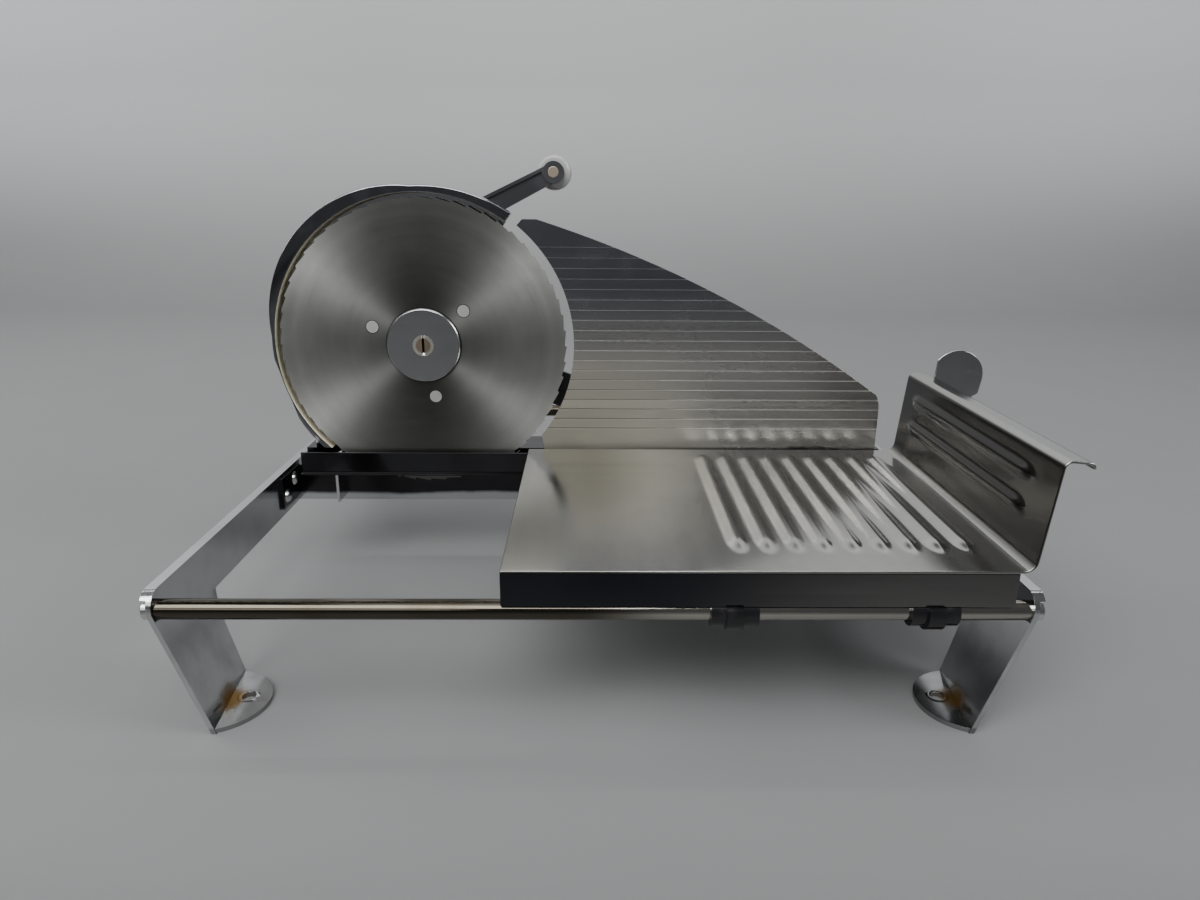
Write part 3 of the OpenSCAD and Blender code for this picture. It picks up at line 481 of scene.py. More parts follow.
@dataclass(frozen=True)
class GradedMetal(Metal):
    """A metal that is brighter towards the right, in uneven streaks.

    Attributes:
        bright: The colour at the right.
        start: Where it begins to brighten.
        end: Where it is brightest.
    """

    bright: Colour = (0.5, 0.5, 0.5)
    start: float = 0.0
    end: float = 0.1

    def tone(self, shader: Shader, clean: Signal) -> Signal:
        """Brightens the right end."""
        streaks = shader.noise((5.0, 5.0, 60.0), 3.0, shift=12.0) * 0.8 + 0.35
        amount = (shader.axis("X").ramp(self.start, self.end) * streaks).ramp(0.0, 1.0)
        return shader.blend(clean, self.bright, amount)


@dataclass(frozen=True)
class BarChrome(Metal):
    """Chrome of the crossbar, coloured dark as a painted reflection of the dim room, with a painted
    reflection of the floor along its lower edge.

    Attributes:
        floor_reflection_below: Height under which the floor's reflection is painted.
        bright: The colour of that painted reflection.
    """

    floor_reflection_below: float = 0.054
    bright: Colour = (0.5, 0.51, 0.52)

    def tone(self, shader: Shader, clean: Signal) -> Signal:
        """Adds the painted reflection's strip with its wavy edge."""
        wave = shader.noise((30.0, 30.0, 10.0), 3.0, shift=9.0) * 0.006
        # Painted reflection of the floor along the lower edge.
        strip = 1.0 - (shader.axis("Z") + wave).ramp(self.floor_reflection_below, self.floor_reflection_below + 0.003)
        return shader.blend(clean, self.bright, strip)


@dataclass(frozen=True)
class SlottedBrass(Metal):
    """Brass of the blade's screw, with painted shade in its slot.

    Attributes:
        slot_x: The slot's place.
        slot_half: Half the slot's width.
        middle_z: Height of the screw's axis.
        worn: Radius inside which the head is browned.
        brown: The colour of that part.
        dirt_and_shade: The colour of the painted shade in the slot.
    """

    slot_x: float = -0.1135
    slot_half: float = 0.8 * MM
    middle_z: float = 0.19
    worn: float = 5.0 * MM
    brown: Colour = (0.4, 0.29, 0.17)
    dirt_and_shade: Colour = (0.02, 0.015, 0.01)

    def _slot(self, shader: Shader) -> Signal:
        """Where the slot is."""
        return shader.axis("X").band(self.slot_x, self.slot_half, 0.3 * MM)

    def dulling(self, shader: Shader, rough: Signal) -> Signal:
        """Makes the slot matt."""
        return rough + self._slot(shader) * 0.5

    def tone(self, shader: Shader, clean: Signal) -> Signal:
        """Paints shade in the slot and along its edges, and browns the head inside its rim."""
        across = shader.axis("X") - self.slot_x
        up = shader.axis("Z") - self.middle_z
        reach = (across * across + up * up).math("SQRT")
        inside = 1.0 - reach.ramp(self.worn - 0.5 * MM, self.worn + 0.3 * MM)
        head = shader.blend(clean, self.brown, inside * 0.8)
        # Painted shade in the slot.
        return shader.blend(head, self.dirt_and_shade, self._slot(shader) * inside)


@dataclass(frozen=True)
class PlateChrome(Metal):
    """Chrome of the thickness plate, with a painted dark reflection on its upper part, painted highlights in
    its grooves, and a warm worn field low beside the blade.

    Attributes:
        warm: The worn field's colour.
        deep: The colour of the painted dark reflection on the plate's upper part.
        bright: The colour of the painted highlight in a groove outside the worn field.
        dirt_and_shade: The colour of a groove in the worn field.
        low: Height of the plate's lower edge.
        left: The plate's left side beside the blade.
        face_y: Where the plate's front face lies.
    """

    warm: Colour = (0.46, 0.435, 0.36)
    deep: Colour = (0.17, 0.18, 0.21)
    bright: Colour = (0.62, 0.62, 0.63)
    dirt_and_shade: Colour = (0.05, 0.045, 0.035)
    low: float = 0.087
    left: float = -0.02
    face_y: float = 0.0

    def _front(self, shader: Shader) -> Signal:
        """Where the plate's front face is, and not its edge or back."""
        return 1.0 - shader.axis("Y").ramp(self.face_y + 0.3 * MM, self.face_y + 0.8 * MM)

    def _worn(self, shader: Shader) -> Signal:
        """Where food has dulled the plate."""
        up = 1.0 - shader.axis("Z").ramp(self.low + 0.01, self.low + 0.11)
        across = 1.0 - shader.axis("X").ramp(self.left + 0.03, self.left + 0.19)
        cloud = shader.noise((16.0, 16.0, 26.0), 4.0, shift=6.0)
        return (up * across + (cloud - 0.5) * 0.35 * up).ramp(0.0, 0.95) * self._front(shader)

    def _groove(self, shader: Shader) -> Signal:
        """Where the plate is below its front face, in its grooves."""
        return (shader.axis("Y") - self.face_y).band(0.16 * MM, 0.1 * MM, 0.03 * MM)

    def tone(self, shader: Shader, clean: Signal) -> Signal:
        """Runs from the painted dark reflection above to the warm worn field, with painted highlights in the
        grooves that grow towards the right, and darker grooves in the worn field.
        """
        worn = self._worn(shader)
        # Painted reflection: the upper front face is darkened as if mirroring the dim room.
        high = shader.axis("Z").ramp(self.low + 0.045, self.low + 0.12)
        upper = shader.blend(clean, self.deep, high * self._front(shader) * 0.85)
        face = shader.blend(upper, self.warm, worn * 0.85)
        bottom = shader.blend(self.bright, self.dirt_and_shade, worn * 1.6)
        # Painted highlight in the grooves, stronger towards the right; in the worn field the grooves are
        # darker instead.
        broken = shader.noise((40.0, 1.0, 160.0), 3.0, shift=6.6).ramp(0.35, 0.7)
        rightward = shader.axis("X").ramp(self.left + 0.05, self.left + 0.21)
        shine = (rightward * 0.6 + 0.06) * (broken * 0.75 + 0.25)
        return shader.blend(face, bottom, self._groove(shader) * (shine + worn))

    def dulling(self, shader: Shader, rough: Signal) -> Signal:
        """Makes the worn field and the grooves satin."""
        return rough + self._worn(shader) * 0.25 + self._groove(shader) * 0.05


@dataclass(frozen=True)
class Moulding:
    """A moulded plastic with fine texture and handling marks.

    Attributes:
        name: The material's name.
        colour: The plastic's colour.
        worn: The colour of rubbed places.
        rough: The roughness where it is clean.
        grain: Depth of the texture in metres.
    """

    name: str
    colour: Colour
    worn: Colour
    rough: float
    grain: float = 0.00002

    def build(self) -> Shader:
        """Makes the material and hands its shader back."""
        shader = Shader(self.name)
        rubbed = shader.noise(90.0, 4.0).ramp(0.5, 0.78)
        shader.set(Base_Color=shader.blend(self.colour, self.worn, rubbed * 0.6))
        shader.set(Roughness=rubbed * 0.18 + self.rough)
        shader.bump(shader.noise(1500.0, 2.0, shift=0.4), self.grain)
        return shader


@dataclass(frozen=True)
class BladeSteel:
    """Stainless steel turned in fine rings about the blade's axis, with the rings' sheen painted into the
    colour as light and dark sectors.

    Attributes:
        name: The material's name.
        hub: The axis's place in X and Z.
        radius: The blade's radius.
        seats: Place in X and Z and radius of each round part that painted shade lies around.
        pale: The colour of the painted sheen along the light's line.
        deep: The colour of the painted shade across it.
        smear: The colour of wiped-on film.
        dirt_and_shade: The colour of the painted shade round the seats.
        sheen: Cosine of twice the angle above level at which the rings catch the light.
        spread: How far from there the sheen reaches, on the same scale.
    """

    name: str
    hub: tuple[float, float]
    radius: float
    seats: tuple[tuple[float, float, float], ...] = ()
    pale: Colour = (0.88, 0.88, 0.84)
    deep: Colour = (0.02, 0.02, 0.018)
    smear: Colour = (0.25, 0.25, 0.235)
    dirt_and_shade: Colour = (0.03, 0.03, 0.028)
    sheen: float = 0.36
    spread: float = 0.5

    def _around(self, shader: Shader, middle: tuple[float, float]) -> tuple[Signal, Signal, Signal]:
        """Offsets in X and Z from a middle, and the distance from it."""
        across = shader.axis("X") - middle[0]
        up = shader.axis("Z") - middle[1]
        return across, up, (across * across + up * up).math("SQRT")

    def _rings(self, shader: Shader, reach: Signal, scale: float, detail: float, rough: float) -> Signal:
        """Noise that changes only with the distance from the axis."""
        sockets = {"W": reach, "Scale": scale, "Detail": detail, "Roughness": rough}
        return shader.node("TexNoise", {"noise_dimensions": "1D"}, sockets)

    def build(self) -> Shader:
        """Makes the material and hands its shader back."""
        shader = Shader(self.name)
        across, up, reach = self._around(shader, self.hub)
        rings = self._rings(shader, reach, 2600.0, 4.0, 0.7)
        wide_rings = self._rings(shader, reach, 160.0, 3.0, 0.6)
        square = reach * reach + 0.0000001  # never 0, so that the axis itself divides well
        # Painted sheen: light and dark sectors by direction from the axis, lighter towards the rim.
        turn = ((across * across - up * up) / square - self.sheen) / self.spread
        lit = 1.0 / (turn * turn + 1.0)
        cloud = shader.noise(34.0, 4.0, shift=8.0)
        outward = reach * (0.75 / self.radius) + 0.3
        lit = lit * outward * ((wide_rings - 0.5) * 0.12 + (cloud - 0.5) * 0.3 + 1.0)
        tone = shader.blend(self.deep, self.pale, lit)
        smears = shader.noise((14.0, 14.0, 60.0), 4.0, shift=8.0).ramp(0.5, 0.8)
        tone = shader.blend(tone, self.smear, smears * 0.15)
        # Painted shade in a thin ring round the clamping disc and each drive pin.
        for x, z, radius in self.seats:
            around = self._around(shader, (x, z))[2].band(radius, 0.25 * MM, 0.45 * MM)
            tone = shader.blend(tone, self.dirt_and_shade, around * 0.85)
        shader.set(Metallic=1.0, Base_Color=tone)
        shader.set(Roughness=wide_rings * 0.04 + cloud * 0.08 + 0.3)
        shader.bump(rings, 0.000032)
        return shader


MATERIALS: dict[str, bpy.types.Material] = {}

METALS = (
    FootedChrome("side_chrome", (0.6, 0.61, 0.62), (0.42, 0.42, 0.41), 0.12, 0.14, specks=0.6, wave=0.000015),
    # The rod, rail, crossbar and apron get near-black colours: a painted dark reflection of the dim room and
    # the floor before them.
    GradedMetal(
        "rod_chrome", (0.085, 0.077, 0.06), (0.05, 0.038, 0.025), 0.1, 0.16, Grain.ALONG_X, specks=0.8,
        bright=(0.5, 0.48, 0.43), start=-0.02, end=0.05,
    ),
    Metal("rail_chrome", (0.04, 0.04, 0.043), (0.02, 0.018, 0.016), 0.1, 0.16, Grain.ALONG_X, specks=0.8),
    BarChrome(
        "bar_chrome", (0.036, 0.036, 0.039), (0.02, 0.018, 0.016), 0.1, 0.16, Grain.ALONG_X, specks=0.8
    ),
    Metal("cover_chrome", (0.55, 0.55, 0.56), (0.38, 0.37, 0.34), 0.14, 0.14, specks=0.5, wave=0.00005),
    Metal("bolt_chrome", (0.68, 0.68, 0.67), (0.38, 0.34, 0.28), 0.14, 0.16, specks=0.5),
    GradedMetal(
        "apron_steel", (0.042, 0.045, 0.052), (0.024, 0.024, 0.026), 0.12, 0.16, Grain.ALONG_X,
        scratch=0.000005, specks=0.5, wave=0.00003, bright=(0.22, 0.215, 0.205), start=0.0, end=0.16,
    ),
    Metal("disc_steel", (0.45, 0.455, 0.46), (0.28, 0.28, 0.28), 0.2, 0.12, Grain.ALONG_X, 0.000006, 0.3),
    Metal("zinc", (0.56, 0.56, 0.53), (0.4, 0.37, 0.28), 0.3, 0.2, specks=0.5),
    Metal("pin_steel", (0.78, 0.78, 0.75), (0.55, 0.54, 0.5), 0.42, 0.1, specks=0.3),
    Metal("bronze", (0.55, 0.36, 0.18), (0.3, 0.2, 0.1), 0.35, 0.2, specks=0.5),
    Metal("rivet_steel", (0.5, 0.42, 0.33), (0.28, 0.22, 0.17), 0.35, 0.2, specks=0.6),
    Metal("casting", (0.13, 0.13, 0.14), (0.06, 0.06, 0.065), 0.3, 0.22, Grain.NONE, 0.00003, 0.6),
    Metal("black_steel", (0.06, 0.06, 0.062), (0.03, 0.03, 0.03), 0.4, 0.2, Grain.NONE, 0.00002, 0.5),
)
MOULDINGS = (
    Moulding("black_plastic", (0.008, 0.008, 0.009), (0.03, 0.03, 0.032), 0.18),
    Moulding("knob_plastic", (0.015, 0.015, 0.016), (0.05, 0.05, 0.05), 0.4, 0.00004),
    Moulding("handle_plastic", (0.42, 0.42, 0.41), (0.3, 0.29, 0.27), 0.34),
    Moulding("gear_plastic", (0.62, 0.58, 0.46), (0.4, 0.36, 0.27), 0.4),
)
FINISH_OF_SLOT = {
    "chrome_sheet": "side_chrome",
    "chrome_rod": "rod_chrome",
    "chrome_fasteners": "bolt_chrome",
    "chrome_guard": "guard_chrome",
    "chrome_plate": "plate_chrome",
    "zinc_steel": "zinc",
    "bronze": "bronze",
    "dark_steel": "black_steel",
    "blade_steel": "blade_steel",
    "disc_steel": "disc_steel",
    "brass_screw": "screw_brass",
    "pin_steel": "pin_steel",
    "gear_plastic": "gear_plastic",
    "arm_casting": "casting",
    "rivet_steel": "rivet_steel",
    "handle_plastic": "handle_plastic",
    "tray_steel": "satin_steel",
    "apron_steel": "apron_steel",
    "black_plastic": "black_plastic",
    "knob_plastic": "knob_plastic",
}
MOUTH_GAP = 2.2 * MM  # between the blade's edge and the guard's wall


def middle_of(node: str) -> Vector:
    """The middle of a CAD node's box."""
    low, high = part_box(node)
    return (low + high) / 2


def build_finishes() -> None:
    """Makes every material once."""
    low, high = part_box("blade")
    hub = (middle_of("clamp_disc").x, middle_of("clamp_disc").z)
    radius = (high.x - low.x) / 2
    blade = BladeSteel("blade_steel", hub, radius, BladeUnit().seats())
    guard = GuardChrome(
        "guard_chrome", (0.6, 0.6, 0.62), (0.36, 0.34, 0.3), 0.07, 0.12, specks=0.5, wave=0.00003,
        hub=hub, mouth=radius + MOUTH_GAP, front_y=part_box("blade_guard")[0].y,
    )
    screw = SlottedBrass(
        "screw_brass", (0.85, 0.82, 0.74), (0.5, 0.42, 0.3), 0.26, 0.2, specks=0.7,
        slot_x=hub[0], middle_z=hub[1],
    )
    plate_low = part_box("gauge_plate")[0]
    plate = PlateChrome(
        "plate_chrome", (0.66, 0.65, 0.62), (0.44, 0.42, 0.38), 0.23, 0.12, Grain.ALONG_X, 0.000006, 0.25,
        low=plate_low.z, left=plate_low.x, face_y=plate_low.y,
    )
    tray_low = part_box("tray")[0]
    shape = Carriage()
    tray = TraySteel(
        "satin_steel", (0.47, 0.466, 0.44), (0.36, 0.355, 0.33), 0.15, 0.1, Grain.ALONG_Y,
        scratch=0.0000015, specks=0.3, wave=0.0001, mottle=0.3,
        corner=(tray_low.x, tray_low.y), fold=(shape.fold_x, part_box("carriage_apron")[1].z + shape.fold),
        inner=shape.inner, lean_deg=shape.lean_deg,
    )
    for finish in (*METALS, *MOULDINGS, blade, guard, screw, plate, tray):
        MATERIALS[finish.name] = finish.build().material


# ---------------------------------------------------------------- making pieces


def slot_of(node: str) -> str:
    """The record's material slot of a CAD node."""
    for entry in frame["record"]["subparts"]:
        if entry["node"] == node:
            return entry["material_slot"]
    raise KeyError(node)


def body_of(node: str) -> str:
    """The CAD body that a node rides on."""
    for body, nodes in frame["record"]["behaviour"]["bodies"].items():
        if node in nodes:
            return body
    raise KeyError(node)


WELD = 0.000004  # corners of a CAD mesh that lie closer than this are one corner
FLAT_DEG = 0.5  # faces that meet at less than this are one flat face
SHARP_DEG = 32.0  # edges sharper than this stay sharp in the shading


def dress(item: bpy.types.Object, finish: str) -> None:
    """Gives an object one finish on all its faces."""
    if not item.data.materials:
        item.data.materials.append(MATERIALS[finish])
    for slot in item.material_slots:
        slot.link = "OBJECT"
        slot.material = MATERIALS[finish]


def shade_smooth(item: bpy.types.Object, angle_deg: float = SHARP_DEG) -> None:
    """Shades smooth across edges that are flatter than an angle, and keeps flat faces even."""
    limit = math.radians(angle_deg)
    mesh = item.data
    mesh.shade_smooth()
    layers = mesh.attributes
    sharp = layers.get("sharp_edge") or layers.new("sharp_edge", "BOOLEAN", "EDGE")
    work = bmesh.new()
    work.from_mesh(mesh)
    flags = [len(e.link_faces) != 2 or e.calc_face_angle(0.0) > limit for e in work.edges]
    work.free()
    sharp.data.foreach_set("value", flags)
    even = item.modifiers.new("even_shading", "WEIGHTED_NORMAL")
    even.keep_sharp = True
    even.weight = 100


def merged_copy(node: str) -> bmesh.types.BMesh:
    """A copy of a CAD node's mesh with its triangles joined into flat faces."""
    work = bmesh.new()
    work.from_mesh(frame["nodes"][node].data)
    bmesh.ops.remove_doubles(work, verts=work.verts, dist=WELD)
    bmesh.ops.dissolve_limit(work, angle_limit=math.radians(FLAT_DEG), verts=work.verts, edges=work.edges)
    return work


def round_edges(
    work: bmesh.types.BMesh,
    width: float,
    segments: int,
    pick: "Callable[[bmesh.types.BMEdge], bool] | None" = None,
    angle_deg: float = 30.0,
) -> None:
    """Rounds the sharp edges of a mesh.

    Args:
        work: The mesh.
        width: Width of the rounding in metres.
        segments: Facets across it.
        pick: Says which of the sharp edges are rounded; all of them if it is left out.
        angle_deg: Edges sharper than this count as sharp.
    """
    limit = math.radians(angle_deg)
    edges = [e for e in work.edges if len(e.link_faces) == 2 and e.calc_face_angle(0.0) > limit]
    if pick:
        edges = [e for e in edges if pick(e)]
    bmesh.ops.bevel(
        work, geom=edges, offset=width, offset_type="OFFSET", affect="EDGES", segments=segments, profile=0.5,
        material=-1, clamp_overlap=True,
    )


def publish(
    work: bmesh.types.BMesh,
    name: str,
    node: str,
    stands_for: bool = True,
    finish: str = "",
    angle_deg: float = SHARP_DEG,
) -> bpy.types.Object:
    """Turns a finished mesh into a piece of the object.

    Args:
        work: The mesh, which is freed.
        name: The piece's name.
        node: The CAD node whose body and material slot the piece takes.
        stands_for: Whether the piece replaces that node.
        finish: The finish, where it isn't the one of the node's slot.
        angle_deg: Edges sharper than this stay sharp in the shading.

    Returns:
        The new piece.
    """
    bmesh.ops.triangulate(work, faces=[f for f in work.faces if len(f.verts) > 4])
    mesh = bpy.data.meshes.new(name)
    work.to_mesh(mesh)
    work.free()
    piece = bpy.data.objects.new(name, mesh)
    bpy.context.collection.objects.link(piece)
    shade_smooth(piece, angle_deg)
    dress(piece, finish or FINISH_OF_SLOT[slot_of(node)])
    if stands_for:
        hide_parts(node)
    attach(piece, body_of(node))
    LOG.info("%s: %d faces", name, len(mesh.polygons))
    return piece


def lathe(
    work: bmesh.types.BMesh, profile: Sequence[tuple[float, float]], middle: Sequence[float], steps: int = 48
) -> None:
    """Turns a closed profile of radius and height about an upright axis.

    Args:
        work: The mesh that the ring is added to.
        profile: Radius and height of each corner, in metres.
        middle: The point that the axis runs through, where the height is 0.
        steps: Facets round the ring.
    """
    centre = Vector(middle)
    verts = [work.verts.new(centre + Vector((radius, 0.0, height))) for radius, height in profile]
    edges = [work.edges.new((verts[i - 1], verts[i])) for i in range(len(verts))]
    before = set(work.faces)
    bmesh.ops.spin(
        work, geom=verts + edges, cent=centre, axis=(0.0, 0.0, 1.0), angle=math.tau, steps=steps,
        use_merge=True, use_duplicate=False,
    )
    bmesh.ops.recalc_face_normals(work, faces=[f for f in work.faces if f not in before])


@dataclass
class Assembly:
    """A group of pieces that is built and dressed together.

    Attributes:
        rounded: Width in metres and facets of the rounding on each CAD node that is stood in for.
        plain: CAD nodes that keep their own mesh and only get their finish.
        finishes: Finishes that differ from the one of the node's slot.
    """

    rounded: dict[str, tuple[float, int]] = field(default_factory=dict)
    plain: tuple[str, ...] = ()
    finishes: dict[str, str] = field(default_factory=dict)

    def finish_of(self, node: str) -> str:
        """The finish of one CAD node."""
        return self.finishes.get(node, FINISH_OF_SLOT[slot_of(node)])

    def build(self) -> None:
        """Rounds the nodes that need it and dresses the others."""
        for node, (width, segments) in self.rounded.items():
            work = merged_copy(node)
            round_edges(work, width, segments)
            publish(work, f"{node}_rounded", node, finish=self.finish_of(node))
        for node in self.plain:
            dress(frame["nodes"][node], self.finish_of(node))


# ---------------------------------------------------------------- stand


@dataclass
class Stand(Assembly):
    """Side frames, rods, crossbar and rail.

    Attributes:
        hole_x: Distance of the foot holes from the middle, across.
        hole_y: Distance of the foot holes from the middle, front to back.
        foot_top: Height of the feet's upper face.
        lip: Radii of the raised lip round a foot's hole: its inside, its crown's two edges, its outside.
        lip_rise: Height of that lip.
        sunk: How deep its ring reaches into the foot.
    """

    rounded: dict[str, tuple[float, int]] = field(default_factory=lambda: {
        "left_side_frame": (1.1 * MM, 3),
        "right_side_frame": (1.1 * MM, 3),
        "crossbar": (0.6 * MM, 2),
        "carriage_rail": (0.4 * MM, 2),
        "rail_brackets": (0.3 * MM, 2),
    })
    plain: tuple[str, ...] = ("front_rod", "rear_rod", "rod_nuts", "frame_bolts", "frame_nuts")
    finishes: dict[str, str] = field(default_factory=lambda: {
        "crossbar": "bar_chrome",
        "carriage_rail": "rail_chrome",
    })
    hole_x: float = 182.5 * MM
    hole_y: float = 168.0 * MM
    foot_top: float = 2.5 * MM
    lip: tuple[float, float, float, float] = (3.7 * MM, 4.4 * MM, 5.0 * MM, 6.0 * MM)
    lip_rise: float = 0.45 * MM
    sunk: float = 0.1 * MM

    def foot_rings(self) -> None:
        """Makes the raised lip round each foot's screw hole."""
        work = bmesh.new()
        low, high = -self.sunk, self.lip_rise
        inside, crown_in, crown_out, outside = self.lip
        profile = [(inside, low), (inside, high * 0.5), (crown_in, high), (crown_out, high), (outside, low)]
        for x in (-self.hole_x, self.hole_x):
            for y in (-self.hole_y, self.hole_y):
                lathe(work, profile, (x, y, self.foot_top))
        publish(work, "foot_rings", "left_side_frame", stands_for=False, angle_deg=60.0)

    def build(self) -> None:
        """Builds all of it."""
        super().build()
        self.foot_rings()


# ---------------------------------------------------------------- housing


@dataclass
class Housing(Assembly):
    """Blade guard, gear cover and the bushes.

    Attributes:
        rim_edge: Rounding of the guard's front edges.
        back_edge: Rounding of the cover's back.
        boss_rise: How far the bosses stand out from the cover's back.
        boss: Radius round each bush inside which the cover stays as it is.
    """

    rounded: dict[str, tuple[float, int]] = field(default_factory=lambda: {
        "slice_deflector": (0.4 * MM, 2),
    })
    plain: tuple[str, ...] = ("guard_bolts", "cover_screws", "spindle_bush", "crank_bush")
    finishes: dict[str, str] = field(default_factory=lambda: {"gear_cover": "cover_chrome"})
    rim_edge: float = 0.9 * MM
    back_edge: float = 3.0 * MM
    boss_rise: float = 2.0 * MM
    boss: float = 17.5 * MM

    def guard(self) -> None:
        """Rounds the edges of the guard's front face."""
        work = merged_copy("blade_guard")
        front = min(v.co.y for v in work.verts)

        def foremost(edge: bmesh.types.BMEdge) -> bool:
            """Is an edge of the guard's front face."""
            return all(v.co.y < front + 0.1 * MM for v in edge.verts)

        round_edges(work, self.rim_edge, 4, foremost)
        publish(work, "blade_guard_rounded", "blade_guard")

    def cover(self) -> None:
        """Rounds the gear cover's back as a pressed shell."""
        work = merged_copy("gear_cover")
        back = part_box("gear_cover")[1].y - self.boss_rise
        bores = [Vector((middle_of(node).x, middle_of(node).z)) for node in ("spindle_bush", "crank_bush")]

        def outer(edge: bmesh.types.BMEdge) -> bool:
            """Is the long outline of the cover's back, and no edge of a boss or bore."""
            if any(abs(v.co.y - back) >= 0.1 * MM for v in edge.verts):
                return False
            return min((v.co.xz - middle).length for v in edge.verts for middle in bores) > self.boss

        round_edges(work, self.back_edge, 5, outer)
        publish(work, "gear_cover_rounded", "gear_cover", finish=self.finish_of("gear_cover"))

    def build(self) -> None:
        """Builds all of it."""
        super().build()
        self.guard()
        self.cover()


# ---------------------------------------------------------------- blade


@dataclass
class BladeUnit(Assembly):
    """The blade, what holds it and what turns it.

    Attributes:
        pin_reach: Distance of the drive pins from the axis.
        pin_radius: Radius of a drive pin.
        first_pin_deg: Direction of the first pin, above level.
        pin_count: Number of drive pins.
        disc_rim: How far from the clamping disc the painted shade round it lies.
    """

    plain: tuple[str, ...] = (
        "blade", "clamp_screw", "drive_pins", "drive_flange", "blade_spindle", "blade_gear", "spindle_ring",
    )
    rounded: dict[str, tuple[float, int]] = field(default_factory=lambda: {"clamp_disc": (0.35 * MM, 2)})
    pin_reach: float = 35.4 * MM
    pin_radius: float = 4.0 * MM
    first_pin_deg: float = 40.0
    pin_count: int = 3
    disc_rim: float = 0.2 * MM

    def seats(self) -> tuple[tuple[float, float, float], ...]:
        """Place in X and Z and radius of the clamping disc and the three drive pins."""
        low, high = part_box("clamp_disc")
        hub = (low + high) / 2
        turns = [math.radians(self.first_pin_deg + 360.0 / self.pin_count * i) for i in range(self.pin_count)]
        pins = [
            (hub.x + self.pin_reach * math.cos(a), hub.z + self.pin_reach * math.sin(a), self.pin_radius)
            for a in turns
        ]
        return ((hub.x, hub.z, (high.x - low.x) / 2 + self.disc_rim), *pins)


# ---------------------------------------------------------------- crank


@dataclass
class Crank(Assembly):
    """The crank with its pinion, arm and turning handle."""

    rounded: dict[str, tuple[float, int]] = field(default_factory=lambda: {
        "crank_arm": (0.7 * MM, 3),
        "crank_nut": (0.4 * MM, 2),
        "handle_spindle": (0.3 * MM, 2),
    })
    plain: tuple[str, ...] = ("crank_shaft", "crank_pinion", "crank_handle")


# ---------------------------------------------------------------- carriage


